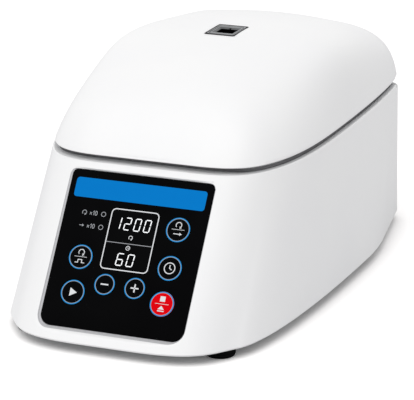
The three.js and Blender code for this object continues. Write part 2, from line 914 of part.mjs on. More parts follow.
function lidLiner() {
  const ring = lidRingAt(linerTop, lidWall + seat);
  const plate = loft([atHeight(ring, linerZ), atHeight(ring, linerTop)]);
  const cutFoot = linerZ - overrun;
  const cutHeight = linerThickness + 2 * overrun;
  const hole = drum(linerDomeRadius, cutHeight, 0, rotorAxisY, cutFoot, bigSides);
  const sweep = linerDomeRadius - sightRadius;
  const arch = (grow, lift) => Array.from({ length: 2 * arcSteps + 1 }, (unused, i) => {
    const angle = (Math.PI / 2) * (i / (2 * arcSteps));
    const out = sightRadius + (sweep + grow) * Math.sin(angle);
    return [out, linerDomeRise * Math.cos(angle) + lift];
  });
  const start = [sightRadius, linerDomeRise];
  const raised = turned(
    [...arch(0, 0), ...arch(linerThickness, linerThickness).reverse(), start], bigSides,
  );
  const notches = [-1, 1].map((side) => block(
    notchWidth, 2 * notchReach, cutHeight, side * (hingeX + notchShift), bodyDepth, cutFoot,
  ));
  const slot = block(
    strikerWidth + 2 * seat, strikerThickness + 2 * seat, cutHeight, 0, strikerY, cutFoot,
  );
  const dish = raised.translate(0, rotorAxisY, linerZ);
  return cut(join(cut(plate, hole), dish), ...notches, slot);
}

function windowFrame() {
  const stepped = (border, height, z) => slab(
    roundedOutline(portWidth - 2 * border, portLength - 2 * border, portRound), height, z,
  );
  const tubeBorder = portRim + seat;
  const bore = tubeBorder + portWall;
  const frameFoot = crownZ - portDepth;
  return cut(
    join(
      stepped(0, portFlange - seat, crownZ - portFlange + seat),
      stepped(tubeBorder, portDepth, frameFoot),
    ),
    stepped(bore, portDepth, frameFoot + lensLedge),
    stepped(bore + lensLedge, portDepth, frameFoot - overrun),
  ).translate(0, rotorAxisY, 0);
}

function windowLens() {
  const border = portRim + portWall + 2 * seat;
  return slab(
    roundedOutline(portWidth - 2 * border, portLength - 2 * border, portRound),
    lensThickness, crownZ - portDepth + lensLedge + seat,
  ).translate(0, rotorAxisY, 0);
}

// Plate hanging from the liner, with the eye that the latch hook enters
function lidStriker() {
  const top = linerTop + seat;
  const blade = block(
    strikerWidth, strikerThickness, strikerDrop + strikerThickness, 0, strikerY, top - strikerDrop,
  );
  const flange = block(
    strikerWidth + 2 * strikerLap, strikerFlange, strikerThickness, 0, strikerY, top,
  );
  const eye = block(
    strikerWidth - 2 * strikerCheek, strikerThickness + 2 * overrun, strikerEye,
    0, strikerY, top - strikerDrop + strikerBar,
  );
  return cut(join(flange, blade), eye);
}

// Hinges, one for each side

// Its stem stands before the pin, clear of the lid's rear wall as that swings down
function hingeBracket(side) {
  const x = side * hingeX;
  const bottom = shelfZ + seat;
  const rearY = hingeY - bracketSetback;
  return cut(
    join(
      block(bracketThickness, bracketStem, hingeZ - bottom, x, rearY - bracketStem / 2, bottom),
      roller(hingeEyeRadius, bracketThickness, x, hingeY, hingeZ),
      block(bracketWidth, bracketDepth, bracketSole, x, rearY - bracketDepth / 2, bottom),
    ),
    roller(hingePinRadius + seat, bracketThickness + 2 * overrun, x, hingeY, hingeZ),
  );
}

// Two cheeks astride the bracket, bridged over the liner
function hingeArm(side) {
  const x = side * hingeX;
  const bottom = linerTop + seat;
  const offset = (bracketThickness + armThickness) / 2 + runningGap;
  const cheeks = [-offset, offset].map((shift) => join(
    block(armThickness, armReach, armHeight, x + shift, hingeY - armReach / 2, bottom),
    roller(hingeEyeRadius - runningGap, armThickness, x + shift, hingeY, hingeZ),
  ));
  const bridgeReach = bodyDepth - notchReach - hingeY + armReach;
  const bridge = block(
    2 * offset + armThickness, bridgeReach, armThickness,
    x, hingeY - armReach + bridgeReach / 2, bottom,
  );
  const hole = roller(hingePinRadius + seat, 2 * hingeX, x, hingeY, hingeZ);
  return cut(join(bridge, ...cheeks), hole);
}

const hingeReach = bracketThickness / 2 + armThickness + 2 * runningGap;
const springPitch = springWire + seat;
const springLength = springTurns * springPitch;

function hingePin(side) {
  const start = hingeX - hingeReach - pinHead;
  const length = 2 * hingeReach + 2 * springWire + springLength + pinHead;
  return join(
    roller(hingePinRadius, length, side * (start + length / 2), hingeY, hingeZ),
    roller(pinHeadRadius, pinHead, side * (start + pinHead / 2), hingeY, hingeZ),
  );
}

// Spring wound round the outer end of the pin
function lidSpring(side) {
  const radius = hingePinRadius + seat + springWire;
  const start = hingeX + hingeReach + springWire;
  const steps = springTurns * springSteps;
  const points = Array.from({ length: steps + 1 }, (unused, i) => {
    const angle = 2 * Math.PI * (i / springSteps);
    return new THREE.Vector3(
      side * (start + springPitch * (i / springSteps)),
      hingeY + radius * Math.cos(angle), hingeZ + radius * Math.sin(angle),
    );
  });
  const section = new THREE.Shape(Array.from({ length: springSides }, (unused, i) => {
    const angle = 2 * Math.PI * (i / springSides);
    return new THREE.Vector2(Math.cos(angle), Math.sin(angle)).multiplyScalar(springWire / 2);
  }));
  return new THREE.ExtrudeGeometry(section, {
    steps, bevelEnabled: false, extrudePath: new THREE.CatmullRomCurve3(points),
  });
}

// Latch, drawn released

function latchFrame() {
  const top = deckUnderside - seat;
  const y = frameFront + frameLength / 2;
  const web = block(2 * frameHalfWidth, frameLength, frameWeb, 0, y, top - frameWeb);
  const cheeks = [-1, 1].map((side) => block(
    frameCheek, frameLength, frameDrop, side * (frameHalfWidth - frameCheek / 2), y, top - frameDrop,
  ));
  const slot = block(
    strikerWidth + frameCheek, strikerThickness + overrun, frameWeb + 2 * overrun,
    0, strikerY, top - frameWeb - overrun,
  );
  const hole = roller(latchPinRadius + seat, 4 * frameHalfWidth, 0, latchPivotY, latchPivotUp);
  return cut(join(web, ...cheeks), slot, hole);
}

function latchPin() {
  return roller(latchPinRadius, 2 * (frameHalfWidth + latchPinEnd), 0, latchPivotY, latchPivotUp);
}

function latchHook() {
  const noseY = latchPivotY - (hookNose - hookArm / 2) / 2;
  return cut(
    join(
      roller(latchPinRadius + hookArm / 2, hookThickness, 0, latchPivotY, latchPivotUp),
      block(hookThickness, hookArm, hookReach, 0, latchPivotY, latchPivotUp),
      block(
        hookThickness, hookNose + hookArm / 2, hookNoseHeight,
        0, noseY, latchPivotUp + hookReach - hookNoseHeight,
      ),
    ),
    roller(latchPinRadius + seat, hookThickness + 2 * overrun, 0, latchPivotY, latchPivotUp),
  );
}

// Profile of [radius, distance back] pairs turned about the plunger's own line
function alongPlunger(profile) {
  const lathe = new THREE.LatheGeometry(profile.map(([r, y]) => new THREE.Vector2(r, y)), smallSides);
  return lathe.translate(0, latchPivotY + hookArm / 2 + seat, latchPivotUp + plungerUp);
}

function latchPlunger() {
  return alongPlunger([
    [0, 0], [plungerTipRadius, 0], [plungerTipRadius, plungerTip], [plungerRadius, plungerTip],
    [plungerRadius, plungerLength], [0, plungerLength],
  ]);
}

function latchSolenoid() {
  const top = deckUnderside - frameWeb - 2 * seat;
  const coil = block(
    solenoidWidth, solenoidLength, solenoidDrop, 0, solenoidY, top - solenoidDrop,
  );
  const bore = plungerRadius + runningGap;
  const length = plungerLength + runningGap;
  return cut(coil, alongPlunger([[0, -overrun], [bore, -overrun], [bore, length], [0, length]]));
}

// Front panel and what sits in it

const keys = [
  ['mode_key', keyColumn, modeRow, keyRadius],
  ['time_key', keyColumn, timeRow, keyRadius],
  ['stop_open_key', keyColumn, startRow, keyRadius],
  ['start_key', -keyColumn, startRow, keyRadius],
  ['short_spin_key', -keyColumn, timeRow, keyRadius],
  ['minus_key', -stepKeyColumn, stepRow, stepKeyRadius],
  ['plus_key', stepKeyColumn, stepRow, stepKeyRadius],
];

function displayOutline(grow) {
  return roundedOutline(displayWidth + 2 * grow, displayHeight + 2 * grow, displayRound);
}

function controlPanel() {
  const deep = panelThickness + 2 * overrun;
  const holes = keys.map(([, x, y, radius]) => drum(radius + seat, deep, x, y, -deep / 2, midSides));
  const lights = lightRows.map((y) => drum(lightRadius + seat, deep, lightColumn, y, -deep / 2));
  const pane = slab(displayOutline(seat), deep, -deep / 2).translate(0, displayCentre, 0);
  const plate = slab(panelOutline(0), panelThickness, -panelThickness);
  return onPanel(cut(plate, ...holes, ...lights, pane));
}

// Cap level with the panel, a flange behind it and a stem over the key's switch
function key(x, y, radius) {
  const flangeTop = -panelThickness - seat;
  const flangeFoot = flangeTop - keyFlangeThickness;
  const stemFoot = tactHeight - boardDepth;
  const flange = radius + keyFlange;
  return onPanel(turned([
    [0, stemFoot], [keyStemRadius, stemFoot], [keyStemRadius, flangeFoot], [flange, flangeFoot],
    [flange, flangeTop], [radius, flangeTop], [radius, 0], [0, 0],
  ], midSides).translate(x, y, 0));
}

function displayWindow() {
  const pane = slab(displayOutline(0), panelThickness, -panelThickness);
  return onPanel(pane.translate(0, displayCentre, 0));
}

function displayModule() {
  const height = boardDepth - panelThickness - 2 * seat;
  return onPanel(block(
    displayWidth - 2 * moduleInset, displayHeight - 2 * moduleInset, height,
    0, displayCentre, seat - boardDepth,
  ));
}

function indicatorLight(y) {
  return onPanel(drum(lightRadius, boardDepth - seat, lightColumn, y, seat - boardDepth));
}

// Board with a switch under every key and posts up to the housing's ledge
function controlBoard() {
  const sunk = -boardDepth - boardThickness / 2;
  const board = block(boardWidth, boardHeight, boardThickness, 0, 0, -boardDepth - boardThickness);
  const tactTop = tactHeight - boardDepth - keyTravel - seat;
  const tacts = keys.map(([, x, y]) => block(tactSize, tactSize, tactTop - sunk, x, y, sunk));
  const postTop = -panelThickness - panelLedgeThickness - seat;
  const x = boardWidth / 2 - boardPostInset;
  const y = boardHeight / 2 - boardPostInset;
  const corners = [[-x, -y], [x, -y], [-x, y], [x, y]];
  const posts = corners.map(([px, py]) => drum(boardPostRadius, postTop - sunk, px, py, sunk));
  return onPanel(join(board, ...tacts, ...posts));
}

// Power electronics

function powerBoard() {
  const sunk = powerBoardZ + boardThickness / 2;
  const capacitors = capacitorColumns.map((x) => drum(
    capacitorRadius, capacitorHeight, x, powerBoardY, sunk,
  ));
  const finPitch = (sinkWidth - finThickness) / (finCount - 1);
  const fins = Array.from({ length: finCount }, (unused, i) => block(
    finThickness, sinkDepth, sinkHeight, sinkX + (i - (finCount - 1) / 2) * finPitch, powerBoardY, sunk,
  ));
  return join(
    block(powerBoardWidth, powerBoardDepth, boardThickness, 0, powerBoardY, powerBoardZ),
    block(sinkWidth, sinkPlate, sinkHeight, sinkX, powerBoardY, sunk),
    ...capacitors, ...fins,
  );
}

function transformer() {
  const bottom = panTop + seat;
  const coilFoot = bottom + (coreHeight - coilHeight) / 2;
  return join(
    block(coreWidth, coreDepth, coreHeight, transformerX, transformerY, bottom),
    block(coilWidth, coilDepth, coilHeight, transformerX, transformerY, coilFoot),
  );
}

// Rear panel, mains inlet and switch

function rearPanel() {
  const deep = rearThickness + overrun;
  const hole = (width, height, x, z) => rearPocket(
    width + 2 * seat, height + 2 * seat, deep, x, z - seat,
  );
  const vents = ventColumns.map((x) => rearPocket(
    ventWidth, ventHeight, deep, x, rearCentre - ventHeight / 2,
  ));
  const plate = block(rearWidth, rearThickness, rearHeight, 0, bodyDepth - rearThickness / 2, rearFoot);
  return cut(
    plate, ...vents,
    hole(inletWidth, inletHeight, inletX, inletFoot), hole(switchWidth, switchHeight, switchX, switchFoot),
  );
}

// Box through the rear panel behind a wider bezel that laps the panel's face
function rearBox(width, height, depth, x, z) {
  const lap = 2 * bezelLap;
  const front = bodyDepth + seat;
  const length = depth + seat + bezelThickness;
  return join(
    block(width, length, height, x, front + bezelThickness - length / 2, z),
    block(width + lap, bezelThickness, height + lap, x, front + bezelThickness / 2, z - bezelLap),
  );
}

function powerInlet() {
  const inner = inletWidth - 2 * inletWall;
  const socketFoot = inletFoot + inletWall;
  const socketDepth = inletDepth - inletWall;
  const pinY = bodyDepth - socketDepth - inletWall / 2 + pinLength / 2;
  const pinZ = socketFoot + (socketHeight - pinThickness) / 2;
  const pins = [[-pinPitch, 0], [0, earthRise], [pinPitch, 0]].map(([dx, dz]) => block(
    pinWidth, pinLength, pinThickness, inletX + dx, pinY, pinZ + dz - earthRise / 2,
  ));
  const box = rearBox(inletWidth, inletHeight, inletDepth, inletX, inletFoot);
  const socket = rearPocket(inner, socketHeight, socketDepth, inletX, socketFoot);
  const drawerFoot = inletFoot + inletHeight - inletWall - fuseHeight;
  const drawer = rearPocket(inner, fuseHeight, fuseDepth, inletX, drawerFoot);
  return join(cut(box, socket, drawer), ...pins);
}

function fuseDrawer() {
  const length = fuseDepth + bezelThickness - seat;
  return block(
    inletWidth - 2 * inletWall - 2 * seat, length, fuseHeight - 2 * seat,
    inletX, bodyDepth + bezelThickness - length / 2,
    inletFoot + inletHeight - inletWall - fuseHeight + seat,
  );
}

function switchBezel() {
  const well = rearPocket(
    switchWidth - 2 * switchSide, switchHeight - 2 * switchRim, switchDepth - switchBack,
    switchX, switchFoot + switchRim,
  );
  const hole = roller(
    axleRadius + seat, switchWidth - 2 * switchSide + 2 * (axleGrip + seat),
    switchX, bodyDepth - rockerInset, switchCentre,
  );
  return cut(rearBox(switchWidth, switchHeight, switchDepth, switchX, switchFoot), well, hole);
}

// Rocker drawn about its own axle, tipped to the off side
function powerRocker() {
  const well = switchWidth - 2 * switchSide;
  const width = well - 2 * runningGap;
  const half = switchHeight / 2 - switchRim - rockerClearance;
  const profile = new THREE.Shape();
  profile.moveTo(rockerTip, -half);
  profile.lineTo(rockerValleyShare * rockerTip, 0);
  profile.lineTo(rockerTip, half);
  profile.lineTo(-rockerTip, half);
  profile.lineTo(-rockerTip, -half);
  const body = slab(profile, width, -width / 2);
  body.applyMatrix4(new THREE.Matrix4().makeBasis(
    new THREE.Vector3(0, 1, 0), new THREE.Vector3(0, 0, 1), new THREE.Vector3(1, 0, 0),
  ));
  return join(body, roller(axleRadius, well + 2 * axleGrip, 0, 0, 0)).rotateX(-rockerThrow / 2);
}

// Assembly

const machine = new THREE.Group();
const bench = new THREE.Group();
machine.add(bench);

function add(name, geometry, color, roughness, metalness) {
  const material = new THREE.MeshStandardMaterial({ color, roughness, metalness });
  const mesh = new THREE.Mesh(bare(geometry), material);
  mesh.name = name;
  bench.add(mesh);
  return mesh;
}

const whitePlastic = ['#f2f4f5', 0.35, 0];
const greyPlastic = ['#8b8f93', 0.55, 0];
const blackPlastic = ['#101112', 0.35, 0];
const redPlastic = ['#e4000f', 0.35, 0];
const smokedPlastic = ['#0b0c0d', 0.1, 0];
const clearPlastic = ['#cfd8dc', 0.05, 0];
const rubber = ['#151515', 0.85, 0];
const boardGreen = ['#1c6b46', 0.6, 0];
const brightSteel = ['#b9bcc0', 0.3, 0.9];
const zincedSteel = ['#8f949a', 0.4, 0.8];
const greyAluminium = ['#9aa0a6', 0.35, 0.85];

add('housing', housing(), ...whitePlastic);
add('base_pan', basePan(), ...zincedSteel);
for (const [row, x, y] of [['front', frontFootX, frontFootY], ['rear', rearFootX, rearFootY]]) {
  for (const [label, side] of [['left', -1], ['right', 1]]) {
    add(`foot_${row}_${label}`, foot(), ...rubber).position.set(side * x, y, 0);
  }
}

add('bowl', bowl(), ...brightSteel);
add('chamber_seal', chamberSeal(), ...rubber);
add('motor', motor(), ...zincedSteel);
add('motor_plate', motorPlate(), ...zincedSteel);
dampPlaces.forEach(([x, y], i) => {
  add(`motor_damper_${i + 1}`, motorDamper(), ...rubber).position.set(x, y, suspensionUp - dampHeight);
});
add('drive_shaft', driveShaft(), ...brightSteel);
add('rotor', rotor(), ...greyAluminium);
add('rotor_nut', rotorNut(), ...brightSteel);

add('lid_shell', lidShell(), ...whitePlastic);
add('lid_liner', lidLiner(), ...greyPlastic);
add('window_frame', windowFrame(), ...greyPlastic);
add('window_lens', windowLens(), ...clearPlastic);
add('lid_striker', lidStriker(), ...brightSteel);
for (const [label, side] of [['left', -1], ['right', 1]]) {
  add(`hinge_bracket_${label}`, hingeBracket(side), ...zincedSteel);
  add(`hinge_arm_${label}`, hingeArm(side), ...zincedSteel);
  add(`hinge_pin_${label}`, hingePin(side), ...brightSteel);
  add(`lid_spring_${label}`, lidSpring(side), ...brightSteel);
}

add('latch_frame', latchFrame(), ...zincedSteel);
add('latch_pin', latchPin(), ...brightSteel);
add('latch_hook', latchHook(), ...brightSteel);
add('latch_solenoid', latchSolenoid(), ...blackPlastic);
add('latch_plunger', latchPlunger(), ...brightSteel);

add('control_panel', controlPanel(), ...blackPlastic);
for (const [name, x, y, radius] of keys) {
  add(name, key(x, y, radius), ...(name === 'stop_open_key' ? redPlastic : blackPlastic));
}
add('display_window', displayWindow(), ...smokedPlastic);
add('display_module', displayModule(), ...blackPlastic);
lightRows.forEach((y, i) => add(`indicator_light_${i + 1}`, indicatorLight(y), ...clearPlastic));
add('control_board', controlBoard(), ...boardGreen);

add('power_board', powerBoard(), ...boardGreen);
add('transformer', transformer(), ...zincedSteel);
add('rear_panel', rearPanel(), ...greyPlastic);
add('power_inlet', powerInlet(), ...blackPlastic);
add('fuse_drawer', fuseDrawer(), ...blackPlastic);
add('switch_bezel', switchBezel(), ...blackPlastic);
add('power_rocker', powerRocker(), ...redPlastic).position.set(
  switchX, bodyDepth - rockerInset, switchCentre,
);

// The origin is under the middle of the whole
const extent = new THREE.Box3().setFromObject(bench);
bench.position.y = -(extent.min.y + extent.max.y) / 2;

export default machine;
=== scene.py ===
"""Benchtop centrifuge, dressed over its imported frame. Metres in Blender, Z up, front towards -Y.

Sizes are written in millimetres of the drawing: X across, Y back from the front edge of the
base, Z up from the bench. place() turns them into the frame's metres.
"""
import math

import bmesh
import bpy
import numpy as np
from mathutils.geometry import delaunay_2d_cdt
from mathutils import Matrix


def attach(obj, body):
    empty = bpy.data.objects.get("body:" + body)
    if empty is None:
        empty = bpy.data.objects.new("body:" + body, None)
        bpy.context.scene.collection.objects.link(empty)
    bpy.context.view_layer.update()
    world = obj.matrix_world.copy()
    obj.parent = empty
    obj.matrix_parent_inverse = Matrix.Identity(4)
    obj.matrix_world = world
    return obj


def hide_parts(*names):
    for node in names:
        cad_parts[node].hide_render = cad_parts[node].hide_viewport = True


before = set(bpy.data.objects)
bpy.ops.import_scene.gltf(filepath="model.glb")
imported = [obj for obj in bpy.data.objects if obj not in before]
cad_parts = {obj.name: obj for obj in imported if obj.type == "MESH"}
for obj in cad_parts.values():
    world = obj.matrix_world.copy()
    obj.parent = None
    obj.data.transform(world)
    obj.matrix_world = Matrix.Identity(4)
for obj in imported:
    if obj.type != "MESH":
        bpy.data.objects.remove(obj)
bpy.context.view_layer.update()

# Driving sizes, as in the solids
MM = 0.001
SHIFT_Y = -214.5716809630394
FOOT = 8.0
DEPTH = 426.0
BASE_HALF = 120.5
SEAM_HALF = 108.4
SEAM_UP = 124.8
LID_RISE = 66.5
LID_SHORT = 1.0
FACE_LEAN = math.radians(35.1)
AXIS_Y = 257.0
AXIS = (0, AXIS_Y)
SEAM_Z = FOOT + SEAM_UP
SEAM_FRONT = SEAM_UP * math.tan(FACE_LEAN)
RIM_DROP, RIM_GROWTH = 4.7, 1.0
RIM_Z, RIM_HALF = SEAM_Z - RIM_DROP, SEAM_HALF + RIM_GROWTH
DECK_RISE, DECK_THICK = 2.6, 3.0
DECK_Z = RIM_Z + DECK_RISE
SHELF_DROP, SHELF_DEEP = 5.0, 26.0
SHELF_Y = DEPTH - SHELF_DEEP
CROWN_Z = SEAM_Z + LID_RISE
MOUTH = 86.0
SEAL_RISE, LINER_GAP, LINER_THICK = 1.7, 0.6, 2.5
LINER_Z = DECK_Z + SEAL_RISE + LINER_GAP
LINER_TOP = LINER_Z + LINER_THICK
HINGE_BACK, HINGE_UP = 8.5, 2.0
HINGE_X, HINGE_Y, HINGE_Z = 46.0, DEPTH - HINGE_BACK, SEAM_Z + HINGE_UP
STRIKER_Y = 113.0
ROTOR_Z = 70.0
SHELL_WALL, SHELL_CREASE = 2.3, 38.0
SEAT = 0.3

# Plan outlines, as shares of half the width and of the depth
BASE_PLAN = dict(
    flat=0.18, pull=0.46, corner=(0.8, 0.089), turn=0.58, corner_pull=0.21, flank=0.085,
    widest_pull=0.14, widest=0.66, tail=0.04, crease=(0.975, 0.759), rear=0.83, rear_round=0.13,
)
SEAM_PLAN = dict(
    flat=0.377, pull=0.289, corner=(0.856, 0.091), turn=0.736, corner_pull=0.199, flank=0.106,
    widest_pull=0.201, widest=0.507, tail=0.25, crease=(0.951, 0.908), rear=0.89, rear_round=0.13,
)
FRONT_STEPS, CORNER_STEPS, FLANK_STEPS, TAIL_STEPS = 8, 44, 48, 22
FACET_STEPS, REAR_CORNER_STEPS, REAR_STEPS = 12, 12, 20

PANEL_W, PANEL_H, PANEL_THICK = 119.4, 126.4, 1.5
PANEL_TOP_ROUND, PANEL_FOOT_ROUND, PANEL_ARC = 4, 9, 12
PANEL_LEAN = math.radians(33.65)
PANEL_UP, PANEL_SUNK = 61.4, 3.05
PANEL_Y = PANEL_UP * math.tan(FACE_LEAN) + PANEL_SUNK / math.cos(FACE_LEAN)

# How finely curves are cut, and how close points count as one
HALVINGS = 40
ARC_STEPS, ROLL_STEPS, RIM_STEPS, FINE_STEPS = 8, 3, 4, 5
MOUTH_SIDES, TURNED_SIDES, LINER_SIDES, NUT_SIDES, KEY_SIDES = 160, 144, 128, 96, 72
SMALL_SIDES, LIGHT_HOLE_SIDES = 40, 32
CLOSE, TINY, MERGE = 1e-7, 1e-6, 2e-6


# Numbers to points


def place(points):
    """Drawing millimetres to the frame's metres: Y moves by the shift, then all are scaled."""
    return (np.asarray(points, float) + (0.0, SHIFT_Y, 0.0)) * MM


def axes(points):
    """X, Y and Z of some points, one after the other."""
    return np.moveaxis(np.asarray(points, float), -1, 0)


def on_panel(points):
    """Panel millimetres (X across, Y up the leaning face, Z out of it) to the drawing."""
    x, y, z = axes(points)
    c, s = math.sin(PANEL_LEAN), math.cos(PANEL_LEAN)
    return np.stack([x, PANEL_Y + c * y - s * z, FOOT + PANEL_UP + s * y + c * z], -1)


def to_panel(points):
    """The drawing to panel millimetres, the way back from on_panel."""
    x, y, z = axes(points)
    c, s = math.sin(PANEL_LEAN), math.cos(PANEL_LEAN)
    y, z = y - PANEL_Y, z - FOOT - PANEL_UP
    return np.stack([x, c * y + s * z, c * z - s * y], -1)


def halve(holds, near, far):
    """Closest values on both sides of where holds turns false, by halving the way from near to far."""
    for _ in range(HALVINGS):
        middle = (near + far) / 2
        yes = holds(middle)
        near, far = np.where(yes, middle, near), np.where(yes, far, middle)
    return near, far


def quarter(steps):
    """Angles from nought to a right angle."""
    return np.linspace(0, math.pi / 2, steps + 1)


def spread(count):
    """Steps from 0 to 1 that are closest at both ends: half of one minus the cosine."""
    return (1 - np.cos(np.pi * np.arange(count + 1) / count)) / 2


def line(p, q, t):
    """Straight line from p to q at the steps t."""
    return np.outer(1 - t, p) + np.outer(t, q)


def quadratic(p, q, r, t):
    """Bezier curve of three points at the steps t."""
    s = 1 - t
    return np.outer(s * s, p) + np.outer(2 * s * t, q) + np.outer(t * t, r)


def cubic(p, q, r, e, t):
    """Bezier curve of four points at the steps t."""
    s = 1 - t
    return np.outer(s**3, p) + np.outer(3 * s * s * t, q) + np.outer(3 * s * t * t, r) + np.outer(t**3, e)


def mirrored(right):
    """Closed loop from its right half, which starts and ends on the middle line."""
    return np.concatenate([right, right[1:-1][::-1] * (-1, 1)])


def plan_ring(plan, half, front, rear, facet_steps):
    """Closed plan outline, anticlockwise from the middle of the front.

    A flat, a cubic round the front corner, a cubic along the flank to the widest point, a
    quadratic to the crease, a straight facet, and a quadratic round the rear corner.
    """
    depth = rear - front

    def at(share_x, share_y):
        """Point of these shares of the half width and the depth."""
        return np.array([share_x * half, front + share_y * depth])

    flat, corner = at(plan["flat"], 0), at(*plan["corner"])
    widest, crease = at(1, plan["widest"]), at(*plan["crease"])
    turn = plan["turn"] * math.pi / 2
    way = np.array([math.cos(turn), math.sin(turn)])
    before = corner - way * plan["corner_pull"] * half
    after = corner + way * plan["flank"] * depth
    rear_round, rear_corner = plan["rear_round"] * half, at(plan["rear"], 1)
    facet = rear_corner - crease
    start = rear_corner - facet * rear_round / np.hypot(*facet)
    end = rear_corner - (rear_round, 0)
    curves = [
        line(at(0, 0), flat, spread(FRONT_STEPS)),
        cubic(flat, at(plan["flat"] + plan["pull"], 0), before, corner, spread(CORNER_STEPS)),
        cubic(corner, after, widest - (0, plan["widest_pull"] * depth), widest, spread(FLANK_STEPS)),
        quadratic(widest, widest + (0, plan["tail"] * depth), crease, spread(TAIL_STEPS)),
        line(crease, start, facet_steps),
        quadratic(start, rear_corner, end, spread(REAR_CORNER_STEPS)),
        line(end, at(0, 1), spread(REAR_STEPS)),
    ]
    return mirrored(np.concatenate([curves[0][:1], *(curve[1:] for curve in curves)]))


def offset(loop, distance, like=None):
    """Closed loop moved to its left by a distance, along the normal of its neighbours' chord.

    The normals are those of another loop of as many points if one is given.
    """
    like = loop if like is None else like
    way = np.roll(like, -1, 0) - np.roll(like, 1, 0)
    way /= np.hypot(way[:, 0], way[:, 1])[:, None]
    return loop + np.stack([-way[:, 1], way[:, 0]], -1) * np.reshape(distance, (-1, 1))


def rounded(width, height, top, foot=None, steps=ARC_STEPS):
    """Rounded rectangle about the origin, anticlockwise from the foot: arcs of top and foot radius."""
    foot = top if foot is None else foot
    x, y = width / 2, height / 2
    corners = []
    for cx, cy, radius, start in (
        (x - foot, foot - y, foot, -math.pi / 2), (x - top, y - top, top, 0),
        (top - x, y - top, top, math.pi / 2), (foot - x, foot - y, foot, math.pi),
    ):
        turn = start + quarter(steps)
        corners.append(np.stack([cx + radius * np.cos(turn), cy + radius * np.sin(turn)], -1))
    return np.concatenate(corners)


def circle(radius, sides, centre=(0, 0)):
    """Ring of points, anticlockwise."""
    angle = 2 * math.pi * np.arange(sides) / sides
    return np.stack([centre[0] + radius * np.cos(angle), centre[1] + radius * np.sin(angle)], -1)


def arc(centre, radius, start, end, steps):
    """Points round a centre, from one angle in degrees to another."""
    angle = np.radians(np.linspace(start, end, steps + 1))
    return [(centre[0] + radius * math.cos(a), centre[1] + radius * math.sin(a)) for a in angle]


def level(loop, z):
    """Plan loop lifted to the height z."""
    return np.column_stack([loop, np.broadcast_to(z, len(loop))])


def grid(rows, closed=True):
    """Quads over a stack of rows of equal length, joined round if closed."""
    points = np.asarray(rows)
    high, wide = points.shape[:2]
    index = np.arange(high * wide).reshape(high, wide)
    across = np.roll(index, -1, 1) if closed else index[:, 1:]
    index = index if closed else index[:, :-1]
    faces = np.stack([index[:-1], across[:-1], across[1:], index[1:]], -1)
    return points.reshape(-1, 3), faces.reshape(-1, 4).tolist()


def fill(loops, z):
    """Flat face between an outer loop and its holes: triangles whose middle is inside by winding."""
    starts = np.cumsum([0] + [len(loop) for loop in loops])
    edges = [
        (a + i, a + (i + 1) % (b - a)) for a, b in zip(starts, starts[1:]) for i in range(b - a)
    ]
    points = [tuple(point) for loop in loops for point in loop]
    made, _, faces, *_ = delaunay_2d_cdt(points, edges, [], 0, CLOSE)
    flat, faces = np.array([tuple(point) for point in made]), np.array(faces)
    middle = flat[faces].mean(1)
    inside = np.zeros(len(faces), bool)
    for loop in loops:
        after = np.roll(loop, -1, 0)
        y = middle[:, 1:]
        crosses = (loop[:, 1] > y) != (after[:, 1] > y)
        rise = np.where(after[:, 1] == loop[:, 1], 1, after[:, 1] - loop[:, 1])
        x = loop[:, 0] + (y - loop[:, 1]) * (after[:, 0] - loop[:, 0]) / rise
        inside ^= (crosses & (middle[:, :1] < x)).sum(1) % 2 == 1
    return level(flat, z), faces[inside].tolist()


def rolled_foot(loop, low, radius, steps=ROLL_STEPS):
    """Rows of a quarter round from a flat underside up into the wall on a loop."""
    return [
        level(offset(loop, radius * (1 - math.sin(k))), low + radius * (1 - math.cos(k)))
        for k in quarter(steps)
    ]


def rolled_top(loop, high, radius):
    """Rows of a quarter round from the wall on a loop into a flat top."""
    return [
        level(offset(loop, radius * (1 - math.cos(k))), high - radius * (1 - math.sin(k)))
        for k in quarter(ROLL_STEPS)
    ]


def lathe(profile, sides, centre=(0, 0), z=0.0):
    """Profile of radius and height turned about an upright axis through centre."""
    ring = circle(1, sides)
    return grid([level(ring * radius + centre, z + up) for radius, up in profile])


# Shader maths


def operator(operation, reflected=False):
    """One of Python's operators for a Value, as the Math node of that operation."""

    def apply(self, other):
        """Adds the node between this value and the other."""
        first, second = (other, self) if reflected else (self, other)
        return self.nodes.add("ShaderNodeMath", dict(operation=operation), {0: first, 1: second})

    return apply


class Value:
    """A shader socket with Python's operators, each of which adds its Math node."""

    def __init__(self, nodes, socket):
        self.nodes, self.socket = nodes, socket

    def beside(self, output):
        """Another output of the same node."""
        return Value(self.nodes, self.socket.node.outputs[output])

    __add__, __radd__ = operator("ADD"), operator("ADD", True)
    __sub__, __rsub__ = operator("SUBTRACT"), operator("SUBTRACT", True)
    __mul__, __rmul__ = operator("MULTIPLY"), operator("MULTIPLY", True)
    __pow__ = operator("POWER")


class Nodes:
    """Node tree of a material or world in the making, with one method for every node."""

    def __init__(self, owner):
        owner.use_nodes = True
        self.tree = owner.node_tree
        self.tree.nodes.clear()

    def add(self, kind, settings=None, inputs=None, output=0):
        """Adds a node: its settings first, then the values or links of its sockets."""
        node = self.tree.nodes.new(kind)
        for key, value in (settings or {}).items():
            setattr(node, key, value)
        for key, value in (inputs or {}).items():
            if isinstance(value, Value):
                self.tree.links.new(value.socket, node.inputs[key])
            else:
                node.inputs[key].default_value = value
        return Value(self, node.outputs[output]) if node.outputs else None


